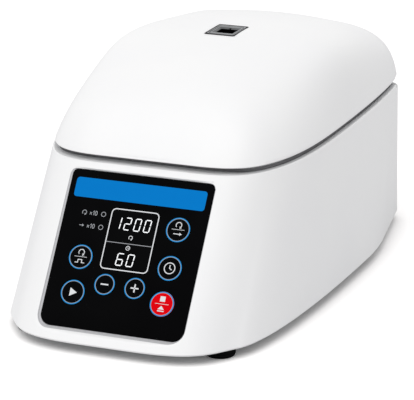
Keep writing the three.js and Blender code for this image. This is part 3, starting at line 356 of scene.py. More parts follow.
class Finish(Nodes):
    """A material in the making."""

    def __init__(self, name):
        self.material = bpy.data.materials.new(name)
        super().__init__(self.material)
        self.place = self.add("ShaderNodeTexCoord", output="Object")

    def noise(self, scale, detail, rough=0.5, stretch=(1, 1, 1)):
        """Noise over the object, finer where scale is larger, drawn out along an axis by stretch."""
        place = self.add("ShaderNodeMapping", None, {"Vector": self.place, "Scale": stretch})
        inputs = {"Vector": place, "Scale": scale, "Detail": detail, "Roughness": rough}
        return self.add("ShaderNodeTexNoise", None, inputs)

    def range(self, value, low, high):
        """Value between low and high, carried over to 0 to 1 and held there."""
        return self.add("ShaderNodeMapRange", None, {0: value, 1: low, 2: high, 3: 0.0, 4: 1.0})

    def sway(self, noise, amount):
        """Swing of a noise about its middle, by this amount in all."""
        return (noise - 0.5) * amount

    def mix(self, share, colour, shade):
        """Colour between two colours."""
        inputs = {0: share, 6: colour, 7: shade}
        return self.add("ShaderNodeMix", dict(data_type="RGBA"), inputs, output=2)

    def bump(self, height, strength, distance, below=None):
        """Normal of a surface raised by height."""
        inputs = {"Height": height, "Strength": strength, "Distance": distance}
        if below is not None:
            inputs["Normal"] = below
        return self.add("ShaderNodeBump", None, inputs)

    def finish(self, **sockets):
        """Ends in a Principled surface with these sockets."""
        inputs = {key.replace("_", " "): value for key, value in sockets.items()}
        surface = self.add("ShaderNodeBsdfPrincipled", None, inputs)
        self.add("ShaderNodeOutputMaterial", None, {"Surface": surface})
        return self.material


# Finishes, whose colours are written in 8-bit values


def srgb(*values):
    """Colour of 8-bit values as the shader's linear one, by the standard's curve."""
    share = np.array(values) / 255
    linear = np.where(share <= 0.04045, share / 12.92, ((share + 0.055) / 1.055) ** 2.4)
    return (*linear.tolist(), 1.0)


def moulded(name, colour, shade, rough, grain=0.25, grain_scale=2600.0, shine=0.5):
    """Moulded plastic: slow mottling and a rubbed tone between two colours, over a fine spark grain."""
    f = Finish(name)
    slow = f.noise(scale=14.0, detail=3.0)
    fine = f.noise(scale=grain_scale, detail=2.0, rough=0.6)
    swirl = f.noise(scale=70.0, detail=4.0, rough=0.6)
    tone = f.range(slow, low=0.35, high=0.7) * 0.7 + f.range(fine, low=0.3, high=0.7) * 0.3
    waves = f.bump(slow, strength=0.02, distance=0.002)
    return f.finish(
        Base_Color=f.mix(tone, srgb(*colour), srgb(*shade)),
        Roughness=rough + f.sway(swirl, 0.12) + f.sway(fine, 0.08),
        Specular_IOR_Level=shine,
        Normal=f.bump(fine, strength=grain, distance=0.00006, below=waves),
    )


def printed(name, colour, shade):
    """Screen printed ink: a dense film with a faint mesh of pinholes."""
    f = Finish(name)
    mesh = f.noise(scale=5200.0, detail=1.0)
    cloud = f.noise(scale=160.0, detail=2.0)
    return f.finish(
        Base_Color=f.mix(f.range(mesh, low=0.55, high=0.8) * 0.5 + cloud * 0.3, srgb(*colour), srgb(*shade)),
        Roughness=0.5 + f.sway(mesh, 0.15),
        Specular_IOR_Level=0.03,
        Normal=f.bump(mesh, strength=0.12, distance=0.00003),
    )


def lit(name, colour, shade, strength):
    """Lit segment behind the smoked window, a little uneven along its length."""
    f = Finish(name)
    cloud = f.noise(scale=900.0, detail=2.0)
    glow = f.mix(f.range(cloud, low=0.3, high=0.7), srgb(*colour), srgb(*shade))
    return f.finish(
        Base_Color=glow, Roughness=0.5, Emission_Color=glow, Emission_Strength=strength,
    )


def rubber(name, colour, shade):
    """Rubber: matt, with a bloom in patches and a coarse grain."""
    f = Finish(name)
    bloom = f.noise(scale=60.0, detail=5.0, rough=0.6)
    grain = f.noise(scale=1800.0, detail=3.0, rough=0.65)
    return f.finish(
        Base_Color=f.mix(f.range(bloom, low=0.4, high=0.75), srgb(*colour), srgb(*shade)),
        Roughness=0.68 + f.sway(bloom, 0.25),
        Specular_IOR_Level=0.06,
        Normal=f.bump(grain, strength=0.3, distance=0.0001),
    )


def metal(name, colour, shade, rough, stretch, scale=420.0):
    """Metal with a drawn finish: fine scratches along the axis that stretch leaves long."""
    f = Finish(name)
    drawn = f.noise(scale=scale, detail=5.0, rough=0.65, stretch=stretch)
    cloud = f.noise(scale=35.0, detail=3.0)
    return f.finish(
        Base_Color=f.mix(f.range(drawn, low=0.3, high=0.7) * 0.6 + cloud * 0.4, srgb(*colour), srgb(*shade)),
        Metallic=1.0,
        Roughness=rough + f.sway(drawn, 0.2) + f.sway(cloud, 0.1),
        Normal=f.bump(drawn, strength=0.18, distance=0.00005),
    )


def turned_metal(name, colour, shade, rough, pitch):
    """Metal turned on a lathe: rings of fine tool marks round the rotor's axis.

    The marks are the sine of the distance from the axis and of the height, times the pitch.
    """
    f = Finish(name)
    axis = (0, -(AXIS_Y + SHIFT_Y) * MM, 0)
    middle = f.add("ShaderNodeMapping", None, {"Vector": f.place, "Location": axis})
    x = f.add("ShaderNodeSeparateXYZ", None, {0: middle})
    y, height = x.beside(1), x.beside(2)
    radius = (x * x + y * y) ** 0.5
    marks = f.add("ShaderNodeMath", dict(operation="SINE"), {0: radius * pitch + height * pitch * 0.7})
    cloud = f.noise(scale=55.0, detail=3.0)
    streak = f.noise(scale=900.0, detail=3.0, rough=0.6, stretch=(1, 1, 0.15))
    return f.finish(
        Base_Color=f.mix(f.range(cloud, low=0.3, high=0.7) * 0.5 + streak * 0.4, srgb(*colour), srgb(*shade)),
        Metallic=1.0,
        Roughness=rough + f.sway(streak, 0.18) + marks * 0.03,
        Normal=f.bump(marks * 0.5 + streak, strength=0.15, distance=0.00003),
    )


def glass(name, colour, through):
    """Clear moulding with a few faint handling marks in its gloss."""
    f = Finish(name)
    smear = f.noise(scale=45.0, detail=4.0, rough=0.6)
    return f.finish(
        Base_Color=srgb(*colour), Roughness=0.04 + f.range(smear, low=0.5, high=0.8) * 0.08,
        IOR=1.49, Transmission_Weight=through,
    )


WHITE = moulded("white_shell", (248, 248, 248), (245, 245, 246), 0.38)
LINER = moulded("liner_grey", (226, 227, 229), (216, 218, 221), 0.5)
BLACK = moulded("black_moulding", (24, 24, 26), (15, 15, 16), 0.45, grain=0.35)
FRAME = moulded("sight_frame_grey", (88, 90, 92), (66, 68, 70), 0.35, grain=0.15, shine=0.3)
# Painted highlight: the ribs of the port's frame are a lighter copy of the frame's grey, for the light they
# catch
FRAME_RIB_HIGHLIGHT = moulded("sight_rib_painted_highlight", (142, 144, 146), (126, 128, 130), 0.35, grain=0.15, shine=0.3)
# Painted shade: black for the gap round the port's frame, a groove between its ribs, a notch and the hole
# under the lens
PORT_PAINTED_SHADE = moulded("sight_painted_shade", (12, 12, 13), (7, 7, 8), 0.6, shine=0.1)
OVERLAY = moulded("overlay_black", (9, 9, 10), (5, 5, 6), 0.5, grain=0.12, grain_scale=4200.0, shine=0.01)
RED = moulded("stop_red", (232, 0, 16), (224, 0, 13), 0.5, grain=0.12, grain_scale=4200.0, shine=0.02)
INK_WHITE = printed("ink_white", (232, 234, 236), (206, 208, 212))
INK_GREY = printed("ink_grey", (170, 172, 176), (140, 143, 148))
INK_BLUE = printed("ink_blue", (0, 124, 205), (0, 116, 196))
RING_BLUE = printed("ring_blue", (36, 146, 216), (28, 132, 204))
DIGIT = lit("digit_lit", (244, 246, 247), (225, 228, 230), strength=0.35)
SMOKED = moulded("smoked_window", (9, 9, 10), (6, 6, 7), 0.25, grain=0.02, shine=0.01)
CLEAR = glass("clear_lens", (200, 206, 210), through=0.9)
RUBBER = rubber("rubber_black", (4, 4, 5), (12, 12, 13))
SEAL = rubber("seal_grey", (58, 60, 63), (72, 74, 77))
# Painted shade: the ledge under the lid's edge is grey and its riser a darker grey, standing in for the
# shadow in the gap there
LEDGE_PAINTED_SHADE = rubber("ledge_painted_shade", (222, 222, 223), (212, 212, 213))
RISER_PAINTED_SHADOW = rubber("riser_painted_shadow", (124, 124, 126), (112, 112, 114))
REAR_GREY = moulded("rear_grey", (104, 107, 111), (90, 93, 97), 0.5, grain=0.4)
ROCKER_RED = moulded("rocker_red", (206, 16, 22), (184, 10, 16), 0.3, grain=0.08)
# Painted shade: grey on the recess's walls and on the rest under the panel, for the shade in the recess
RECESS_PAINTED_SHADE = moulded("recess_painted_shade", (200, 200, 203), (192, 192, 195), 0.5)
BOWL_STEEL = turned_metal("bowl_steel", (236, 237, 238), (218, 220, 222), 0.42, pitch=5200.0)
ROTOR_METAL = turned_metal("rotor_aluminium", (176, 179, 184), (150, 153, 159), 0.34, pitch=7400.0)
STEEL = metal("drawn_steel", (198, 200, 203), (168, 171, 175), 0.26, stretch=(1, 1, 0.06))
ZINC = metal("zinced_steel", (188, 191, 192), (158, 163, 166), 0.36, stretch=(0.3, 1, 1), scale=240.0)
COPPER = metal("copper_winding", (190, 112, 66), (150, 84, 48), 0.35, stretch=(1, 0.05, 1), scale=900.0)
BOARD = moulded("board_green", (26, 96, 58), (16, 74, 44), 0.35, grain=0.2, grain_scale=900.0)


# Pieces

CREASE, SOFT_ANGLE = 32.0, 40.0


def show(name, data):
    """New object with this data, linked to the scene."""
    made = bpy.data.objects.new(name, data)
    bpy.context.scene.collection.objects.link(made)
    return made


def smooth(mesh, crease):
    """Smooth faces, with a sharp edge where they meet at more than the crease in degrees."""
    mesh.polygons.foreach_set("use_smooth", [True] * len(mesh.polygons))
    mesh.set_sharp_from_angle(angle=math.radians(crease))


class Piece:
    """Gathers surfaces, each with its finish, into one object at the origin."""

    def __init__(self, name, frame_of=None):
        self.name, self.frame_of, self.count = name, frame_of, 0
        self.points, self.faces, self.finishes, self.marks = [], [], [], []

    def add(self, surface, finish):
        """Adds a surface of points and faces, through the piece's frame if it has one."""
        points, faces = surface
        points = self.frame_of(points) if self.frame_of else points
        if finish not in self.finishes:
            self.finishes.append(finish)
        self.points.append(place(points))
        self.faces += [[i + self.count for i in face] for face in faces]
        self.marks += [self.finishes.index(finish)] * len(faces)
        self.count += len(points)
        return self

    def plate(self, loops, low, high, finish, round_top, round_foot=0.0):
        """Plate between two heights: a rounded side on every loop, and flat faces top and bottom."""
        for loop in loops:
            foot = rolled_foot(loop, low, round_foot) if round_foot else [level(loop, low)]
            self.add(grid(foot + rolled_top(loop, high, round_top)), finish)
        self.add(fill([offset(loop, round_top) for loop in loops], high), finish)
        return self.add(fill([offset(loop, round_foot) for loop in loops], low), finish)

    def prints(self, ink, low, high, lines=(), shapes=(), centre=(0, 0)):
        """Prints lines, each a path, a width and whether it is closed, and filled outlines."""
        for path, width, closed in lines:
            self.add(stroke(np.asarray(path) + centre, width, low, high, closed), ink)
        for outline in shapes:
            self.add(prism(np.asarray(outline) + centre, low, high), ink)

    def mesh(self):
        """The surfaces as one mesh, with doubles merged and faces turned outwards."""
        mesh = bpy.data.meshes.new(self.name)
        mesh.from_pydata(np.concatenate(self.points), [], self.faces)
        for finish in self.finishes:
            mesh.materials.append(finish)
        mesh.polygons.foreach_set("material_index", self.marks)
        work = bmesh.new()
        work.from_mesh(mesh)
        bmesh.ops.remove_doubles(work, verts=work.verts, dist=MERGE)
        bmesh.ops.recalc_face_normals(work, faces=work.faces)
        work.to_mesh(mesh)
        work.free()
        return mesh

    def build(self, body, slot, replaces=(), wall=0.0, crease=CREASE):
        """Makes the object, with its creases sharp and a wall if asked."""
        made = show(self.name, self.mesh())
        smooth(made.data, crease)
        if wall:
            solid = made.modifiers.new("wall", "SOLIDIFY")
            solid.thickness, solid.offset = wall * MM, -1
        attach(made, body)
        if replaces:
            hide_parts(*replaces)
        return made


def stroke(path, width, low, high, closed=False):
    """Flat printed line: a path widened to both sides by the mitre of its neighbours."""
    path = np.asarray(path, float)
    if closed:
        way = np.roll(path, -1, 0) - np.roll(path, 1, 0)
        scale = np.ones(len(path))
    else:
        step = np.diff(path, axis=0)
        step /= np.linalg.norm(step, axis=1)[:, None]
        way = np.concatenate([step[:1], step[:-1] + step[1:], step[-1:]])
        way /= np.linalg.norm(way, axis=1)[:, None]
        turn = np.concatenate([[1.0], (way[1:-1] * step[:-1]).sum(1), [1.0]])
        scale = 1 / np.maximum(turn, 0.5)
    way /= np.linalg.norm(way, axis=1)[:, None]
    side = np.stack([-way[:, 1], way[:, 0]], -1) * (scale * width / 2)[:, None]
    left, right = path + side, path - side
    rows = np.stack([level(right, low), level(right, high), level(left, high), level(left, low)], 1)
    points, faces = grid(np.concatenate([rows, rows[:1]]) if closed else rows)
    if not closed:
        end = len(points) - 4
        faces += [[3, 2, 1, 0], [end, end + 1, end + 2, end + 3]]
    return points, faces


def prism(outline, low, high):
    """Convex shape: its outline raised between two heights."""
    points, faces = grid([level(outline, low), level(outline, high)])
    count = len(outline)
    return points, faces + [list(range(count))[::-1], list(range(count, 2 * count))]


def dress(finish, *nodes, soften=0.0):
    """Gives solids of the frame their finish, and softened edges where they are seen."""
    for name in nodes:
        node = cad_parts[name]
        node.data.materials.clear()
        node.data.materials.append(finish)
        if soften:
            weld = node.modifiers.new("weld", "WELD")
            weld.merge_threshold = TINY
            bevel = node.modifiers.new("soften", "BEVEL")
            bevel.width, bevel.segments, bevel.limit_method = soften * MM, 2, "ANGLE"
            bevel.angle_limit = math.radians(SOFT_ANGLE)


# Housing: the skin is straight lines from the base outline to the rim outline

# Half the share of the facet in which the rim steps down
STEP_HALF = 0.02


def facet_steps():
    """Steps along the rear facet, with a pair astride the place where the rim steps down."""
    crease_y = SEAM_FRONT + SEAM_PLAN["crease"][1] * (DEPTH - SEAM_FRONT)
    crease = np.array([SEAM_PLAN["crease"][0] * RIM_HALF, crease_y])
    rear = np.array([SEAM_PLAN["rear"] * RIM_HALF, DEPTH])
    way = rear - crease
    end = rear - way / np.hypot(*way) * SEAM_PLAN["rear_round"] * RIM_HALF
    step = (SHELF_Y - crease_y) / (end[1] - crease_y)
    return np.sort(np.concatenate([spread(FACET_STEPS), [step - STEP_HALF, step + STEP_HALF]]))


BASE_RING = plan_ring(BASE_PLAN, BASE_HALF, 0.0, DEPTH, facet_steps())
RIM_RING = plan_ring(SEAM_PLAN, RIM_HALF, SEAM_FRONT, DEPTH, facet_steps())
SEAM_RING = plan_ring(SEAM_PLAN, SEAM_HALF, SEAM_FRONT, DEPTH - LID_SHORT, facet_steps())
COUNT = len(BASE_RING)
MIDDLE = COUNT // 2
LOWERED = (RIM_RING[:, 1] > SHELF_Y) * SHELF_DROP

# Heights of the skin's rows, and the blocks left out of it: from place, to place, from row, to row
LIP, WALL_TOP = 0.5, 116.0
Z_ROWS = np.array([9.2, 9.7, *np.linspace(13, WALL_TOP, 36), 119, 122, 125, 127.4, RIM_Z - LIP])
RECESS_HALF = 68.5
FRONT_SPAN = int(np.argmax(np.minimum(BASE_RING[:, 0], RIM_RING[:, 0]) > RECESS_HALF))
FRONT_BLOCK = (-FRONT_SPAN, FRONT_SPAN, Z_ROWS[1], Z_ROWS[-2])
REAR_BLOCK = (MIDDLE - REAR_STEPS, MIDDLE + REAR_STEPS, Z_ROWS[3], WALL_TOP)

# Rolled foot of the skin: height and inset of each row
FOOT_ROLL = ((0.0, 3.0), (0.0, 1.2), (0.4, 0.8), (0.8, 0.4), (1.2, 0.0))

# Recess: the foot and the slope of its walls to the right, head, left and below, its lip, and the rest
SINK, WALL_REACH, RECESS_ROWS, LIP_ROWS = 0.9, 14.0, 8, 6
WALL_FOOT = np.array([0.6, 0.3, 1.9, 1.0])
WALL_SLOPE = np.array([0.4, 0.2, 0.8, 0.7])
LIP_OUT, LIP_FROM, LIP_REACH = 1.3, -2.0, 16.0
LIP_BEND, LIP_SHARE = 0.7, 0.3
REST_Z, REST_WIDE = -1.8, 5.0

# Pocket of the connection panel, with its steps as depth and inset
POCKET_W, POCKET_H, POCKET_ROUND, POCKET_Z, POCKET_LIP = 150.6, 84.6, 1.5, 66.0, 0.8
POCKET_ROWS, POCKET_ARC = 4, 6
POCKET_STEPS = ((1.9, 0.8), (1.9, 5.8), (3.0, 5.8))

# Ledge inside the rim: across the front, at the sides, and how it eases from one to the other
LEDGE, LEDGE_SIDE, LEDGE_POWER, LEDGE_EASE = 13.8, 5.6, 2.5, 14.0
# Insets where the white lip ends and the ledge's grey painted shade begins, and, back from the ledge's width,
# where the darker painted shadow and the rise begin
LIP_EDGE, STRIP_EDGE, RISE_EDGE = 1.4, 1.1, 0.6

# Holes of the deck: the striker's slot, and how far the edges turn down
SLOT_W, SLOT_L, SLOT_ROUND, HOLE_TURN = 28, 14.5, 2, 0.4


def body_at(index, z):
    """Point of the skin at a place along the outline, which may lie between its points, and a height."""
    share = (z - FOOT) / SEAM_UP
    both = [
        np.interp(index, np.arange(COUNT), BASE_RING[:, axis], period=COUNT) * (1 - share)
        + np.interp(index, np.arange(COUNT), RIM_RING[:, axis], period=COUNT) * share
        for axis in (0, 1)
    ]
    return np.stack([*both, np.broadcast_to(z, np.shape(index))], -1)


def skin_row(z):
    """Row of the skin: over the top of the wall the rows crowd together where the rim is lowered."""
    share = np.clip((z - WALL_TOP) / (RIM_Z - LIP - WALL_TOP), 0, 1)
    return body_at(np.arange(COUNT), z - share * LOWERED)


def index_at(x, z, low, high):
    """Place along the outline where the skin has this x, between low and high."""
    low, high = np.full(np.shape(x), float(low)), np.full(np.shape(x), float(high))
    rising = body_at(high, z)[..., 0] > body_at(low, z)[..., 0]
    near, far = halve(lambda index: (body_at(index, z)[..., 0] < x) == rising, low, high)
    return (near + far) / 2


def meet_skin(start, way, reach):
    """Where lines from start along way come through the front of the skin, short of reach."""

    def behind(length):
        """Whether the lines' points at this length are still behind the skin."""
        x, y, z = axes(start + way * length[:, None])
        return y > body_at(index_at(x, z, -FRONT_SPAN, FRONT_SPAN), z)[:, 1]

    near, _ = halve(behind, np.zeros(len(start)), np.full(len(start), reach))
    return start + way * near[:, None]


def along(points, count):
    """The same path in equal steps of its own length."""
    length = np.concatenate([[0], np.cumsum(np.linalg.norm(np.diff(points, axis=0), axis=1))])
    steps = np.linspace(0, length[-1], count + 1)
    return np.stack([np.interp(steps, length, column) for column in points.T], -1)


def block_rows(block):
    """Heights of the skin's rows in a block."""
    return Z_ROWS[(Z_ROWS >= block[2] - TINY) & (Z_ROWS <= block[3] + TINY)]


def by_sides(loop, block):
    """Closed loop carried over to the count of a block's border, side by side."""
    side = len(loop) // 4
    closed = np.concatenate([loop, loop[:1]])
    counts = [len(block_rows(block)) - 1, block[1] - block[0]] * 2
    return np.concatenate([
        along(closed[i * side:(i + 1) * side + 1], count)[:-1] for i, count in enumerate(counts)
    ])


def border_of(block):
    """Places and heights round a block, anticlockwise from its lower right corner seen from outside."""
    low, high, z_low, z_high = block
    wide, tall = np.arange(low, high + 1), block_rows(block)
    across, up = np.ones(len(wide) - 1), np.ones(len(tall) - 1)
    return np.concatenate([
        np.column_stack([up * high, tall[:-1]]), np.column_stack([wide[:0:-1], across * z_high]),
        np.column_stack([up * low, tall[:0:-1]]), np.column_stack([wide[:-1], across * z_low]),
    ])


def skin_round(piece, block, x, z, steps):
    """Skin from a block's border to an opening of these x and z: straight steps of place and height.

    Returns the edge of the opening in the count of the border.
    """
    places = by_sides(np.column_stack([index_at(x, z, *block[:2]), z]), block)
    border = border_of(block)
    rows = [border * (1 - s) + places * s for s in np.linspace(0, 1, steps + 1)]
    piece.add(grid([body_at(*row.T) for row in rows]), WHITE)
    return body_at(*places.T)


def corner_first(loop):
    """Rounded rectangle's loop turned so that it starts in the middle of its lower right arc."""
    return np.roll(loop, -(len(loop) // 4 // 2), 0)


def round_panel(right, head, left, drop):
    """Outline round the panel, further out on each side by its own amount."""
    loop = rounded(
        PANEL_W + right + left, PANEL_H + head + drop,
        PANEL_TOP_ROUND + right, PANEL_FOOT_ROUND + drop, PANEL_ARC,
    )
    return corner_first(loop) + ((right - left) / 2, (head - drop) / 2)


def outer_walls(piece):
    """Rolled foot and skin, less the blocks of the recess and of the rear pocket."""
    foot = []
    for up, inward in FOOT_ROLL:
        loop = body_at(np.arange(COUNT), np.full(COUNT, FOOT + up))[:, :2]
        foot.append(level(offset(loop, inward), FOOT + up))
    piece.add(grid(foot), WHITE)
    points, faces = grid([skin_row(z) for z in Z_ROWS])
    faces = np.array(faces).reshape(len(Z_ROWS) - 1, COUNT, 4)
    keep = np.ones(faces.shape[:2], bool)
    for low, high, z_low, z_high in (FRONT_BLOCK, REAR_BLOCK):
        rows = (Z_ROWS[:-1] > z_low - TINY) & (Z_ROWS[1:] < z_high + TINY)
        keep[np.ix_(rows, np.arange(low, high) % COUNT)] = False
    piece.add((points, faces[keep].tolist()), WHITE)


def recess(piece):
    """Recess of the panel: skin round it, a soft lip, slanted walls, and the rest under the panel.

    Each wall is a straight line from its foot beside the panel out to the skin. The lip is a
    quadratic from the skin, through the line's end, to a point a little way down the wall.
    """
    wall_end = round_panel(*(WALL_FOOT + WALL_SLOPE * WALL_REACH))
    start = on_panel(level(round_panel(*WALL_FOOT), -SINK))
    way = (on_panel(level(wall_end, WALL_REACH - SINK)) - start) / WALL_REACH
    meeting = meet_skin(start, way, WALL_REACH)
    lifted = on_panel(level(offset(to_panel(meeting)[:, :2], -LIP_OUT), LIP_FROM))
    normal = on_panel([0, 0, 1]) - on_panel([0, 0, 0])
    skin = meet_skin(lifted, np.broadcast_to(normal, lifted.shape), LIP_REACH)

    lip_start = skin_round(piece, FRONT_BLOCK, skin[:, 0], skin[:, 2], RECESS_ROWS)
    lip_middle, wall_foot = by_sides(meeting, FRONT_BLOCK), by_sides(start, FRONT_BLOCK)
    wall = lip_middle - wall_foot
    length = np.linalg.norm(wall, axis=1)[:, None]
    lip_end = lip_middle - wall / length * np.minimum(LIP_BEND, length * LIP_SHARE)
    piece.add(grid([
        lip_start * (1 - t) ** 2 + lip_middle * 2 * t * (1 - t) + lip_end * t * t
        for t in np.linspace(0, 1, LIP_ROWS)
    ]), WHITE)
    # The walls and the rest take the recess's grey painted shade
    rows = [lip_end * (1 - t) + wall_foot * t for t in (0.0, 0.5, 1.0)]
    edge = by_sides(round_panel(SEAT, SEAT, SEAT, SEAT), FRONT_BLOCK)
    for inward, z in ((0.0, -SINK), (0.0, REST_Z), (REST_WIDE, REST_Z)):
        rows.append(on_panel(level(offset(edge, inward), z)))
    piece.add(grid(rows), RECESS_PAINTED_SHADE)


def rear_pocket(piece):
    """Pocket of the connection panel: skin round it, a rolled lip, and steps inwards."""
    hole = offset(corner_first(rounded(POCKET_W, POCKET_H, POCKET_ROUND, steps=POCKET_ARC)), -POCKET_LIP)
    ring = skin_round(piece, REAR_BLOCK, -hole[:, 0], hole[:, 1] + POCKET_Z, POCKET_ROWS)
    flat = np.column_stack([-ring[:, 0], ring[:, 2]])
    steps = [(POCKET_LIP * (1 - math.cos(k)), POCKET_LIP * math.sin(k)) for k in quarter(ROLL_STEPS)]
    rows = []
    for deep, inward in (*steps, *POCKET_STEPS):
        x, z = offset(flat, inward).T
        rows.append(np.column_stack([-x, np.full(len(x), DEPTH - deep), z]))
    piece.add(grid(rows), WHITE)


def ledge_width():
    """Width of the ledge inside the rim at every point of the outline.

    It grows with the outline's turn towards the front, and is then averaged with its
    neighbours by a bell curve of their distance along the outline.
    """
    chord = np.roll(RIM_RING, -1, 0) - np.roll(RIM_RING, 1, 0)
    length = np.hypot(chord[:, 0], chord[:, 1])
    frontal = (np.abs(chord[:, 0]) / length) ** LEDGE_POWER * (RIM_RING[:, 1] < AXIS_Y)
    width = LEDGE_SIDE + (LEDGE - LEDGE_SIDE) * frontal
    run = np.cumsum(length / 2)
    apart = np.abs(run[:, None] - run)
    weight = np.exp(-(np.minimum(apart, run[-1] - apart) / LEDGE_EASE) ** 2) * length / 2
    return weight @ width / weight.sum(1)


def rim(piece):
    """Soft lip, the ledge in the shadow of the lid, and its rise to the deck, whose edge it returns. The
    ledge's grey and the riser's darker grey are painted shade in the gap under the lid.
    """
    top, ledge = skin_row(RIM_Z - LIP)[:, :2], ledge_width()
    low = RIM_Z - LOWERED
    rows = [
        level(offset(top, LIP * (1 - math.cos(k)), RIM_RING), low - LIP + LIP * math.sin(k))
        for k in quarter(ROLL_STEPS)
    ]
    inner, strip, rise, deck_edge = (
        offset(top, inward, RIM_RING) for inward in (LIP_EDGE, ledge - STRIP_EDGE, ledge - RISE_EDGE, ledge)
    )
    piece.add(grid([*rows, level(inner, low)]), WHITE)
    # Grey ledge and darker grey riser: painted shade in the gap under the lid
    piece.add(grid([level(inner, low), level(strip, low)]), LEDGE_PAINTED_SHADE)
    piece.add(grid([level(strip, low), level(rise, low), level(deck_edge, DECK_Z - LOWERED)]), RISER_PAINTED_SHADOW)
    return deck_edge


def deck(piece, edge):
    """Raised deck with the mouth and the striker's slot, the step behind it, and the rear shelf."""
    first = int(np.argmax(LOWERED > 0))
    front = np.concatenate([edge[COUNT - first + 1:], edge[:first]])
    rear = edge[first:COUNT - first + 1]
    slot = rounded(SLOT_W, SLOT_L, SLOT_ROUND) + (0, STRIKER_Y)
    holes = [circle(MOUTH, MOUTH_SIDES, AXIS)[::-1], slot[::-1]]
    piece.add(fill([front, *holes], DECK_Z), WHITE)
    piece.add(fill([rear], DECK_Z - SHELF_DROP), WHITE)
    step = [level(front[[-1, 0]], DECK_Z), level(rear[[0, -1]], DECK_Z - SHELF_DROP)]
    piece.add(grid(step, False), WHITE)
    for loop in holes:
        piece.add(grid([level(loop, DECK_Z), level(loop, DECK_Z - HOLE_TURN)]), WHITE)


def housing_skin():
    """White moulding, given its wall once all its surfaces are joined."""
    piece = Piece("housing_skin")
    outer_walls(piece)
    recess(piece)
    rear_pocket(piece)
    deck(piece, rim(piece))
    piece.build("base", "white_plastic", ["housing"], wall=SHELL_WALL, crease=SHELL_CREASE)


# Lid: every rib is one cubic from the rim to the crown

# Ribs, as shares: how far the first handle leans in and rises, and how far out the second one lies
FRONT_RIB = (0.15, 0.5, 0.62)
SIDE_RIB = (0.091, 0.968, 0.898)
REAR_RIB = (0.029, 0.426, 1.059)
CROWN_OVAL = 0.872
LID_EDGE, LID_TURN, RIB_ROWS, RIB_EASE = 0.8, 2.4, 60, 1.2
PORT_W, PORT_L, PORT_ROUND, PORT_FAR = 26.6, 35.5, 2.0, 60.0


def crown(ring, t):
    """Points of the lid above the ring's points at t, from 0 at the rim to 1 at the crown.

    A rib's way out and up are cubics in t, mixed of front, side and rear ribs by the square of
    the cosine of its angle. Its reach runs from the ring's own towards an oval as it rises.
    """
    angle = np.arctan2(ring[:, 0], AXIS_Y - ring[:, 1])
    front, rear = np.maximum(np.cos(angle), 0) ** 2, np.maximum(-np.cos(angle), 0) ** 2
    side = 1 - front - rear
    in_x, up_z, top_x = (front * f + side * s + rear * r for f, s, r in zip(FRONT_RIB, SIDE_RIB, REAR_RIB))
    s = 1 - t
    out = s**3 + 3 * s * s * t * (1 - in_x) + 3 * s * t * t * top_x
    up = 3 * s * s * t * up_z + 3 * s * t * t + t**3
    reach = np.where(ring[:, 1] < AXIS_Y, abs(ring[0, 1] - AXIS_Y), ring[:, 1].max() - AXIS_Y)
    oval = 1 / np.hypot(np.sin(angle) / ring[:, 0].max(), np.cos(angle) / reach)
    straight = np.hypot(ring[:, 0], ring[:, 1] - AXIS_Y)
    radius = out * (straight + (oval - straight) * CROWN_OVAL * up * up)
    height = SEAM_Z + LID_EDGE + (LID_RISE - LID_EDGE) * up
    return np.column_stack([radius * np.sin(angle), AXIS_Y - radius * np.cos(angle), height])


def up_ribs(holds):
    """Last t on each rib of the lid at which something holds."""
    return halve(lambda t: holds(crown(SEAM_RING, t)), np.zeros(COUNT), np.ones(COUNT))[0]


def port_reach(angle):
    """Distance from the middle of the port to its rounded outline, at each angle from the front."""

    def inside(reach):
        """Whether the points at this distance are inside the rounded outline."""
        x, y = np.abs(reach * np.sin(angle)), np.abs(reach * np.cos(angle))
        past_x, past_y = x - PORT_W / 2 + PORT_ROUND, y - PORT_L / 2 + PORT_ROUND
        corner = np.hypot(np.maximum(past_x, 0), np.maximum(past_y, 0))
        return (x < PORT_W / 2) & (y < PORT_L / 2) & (corner < PORT_ROUND)

    return halve(inside, np.zeros(len(angle)), np.full(len(angle), PORT_FAR))[0]


def lid_skin():
    """White crowned lid: a rolled edge, and rows up its ribs to the port's hole in the crown."""
    wanted = port_reach(np.arctan2(SEAM_RING[:, 0], AXIS_Y - SEAM_RING[:, 1]))
    last = up_ribs(lambda points: np.hypot(points[:, 0], points[:, 1] - AXIS_Y) > wanted)
    rows = [level(offset(SEAM_RING, LID_TURN), SEAM_Z)]
    rows += rolled_foot(SEAM_RING, SEAM_Z, LID_EDGE, RIM_STEPS)[:-1]
    for share in np.linspace(0, 1, RIB_ROWS):
        rows.append(crown(SEAM_RING, last * (1 - (1 - share) ** RIB_EASE)))
    piece = Piece("lid_skin").add(grid(rows), WHITE)
    piece.build("lid", "white_plastic", ["lid_shell"], wall=SHELL_WALL, crease=SHELL_CREASE)


# Under the lid

LINER_IN, LINER_ROUND = 2.9, 0.3
NOTCH_DEEP, NOTCH_X, REAR_POINTS = 20.0, 29.0, 30
STRIKER_W, STRIKER_L, STRIKER_ROUND = 16.6, 3.1, 0.5
DISH_FLAT, DISH_REACH, DISH_HIGH, DISH_STEPS = 11, 67, 16, 24


def liner_outline():
    """Lid's section at the liner's top, moved in, with a notch for the hinge in each rear corner."""
    right = offset(crown(SEAM_RING, up_ribs(lambda points: points[:, 2] < LINER_TOP))[:, :2], LINER_IN)
    right = right[:MIDDLE + 1]
    x, y = right.T
    notch_y = DEPTH - NOTCH_DEEP
    rear = right[(y > notch_y) & (x < NOTCH_X)]
    outer_x = np.interp(notch_y, y[:-REAR_POINTS], x[:-REAR_POINTS])
    notch = [(outer_x, notch_y), (NOTCH_X, notch_y), (NOTCH_X, rear[0, 1])]
    return mirrored(np.concatenate([right[y < notch_y], notch, rear]))


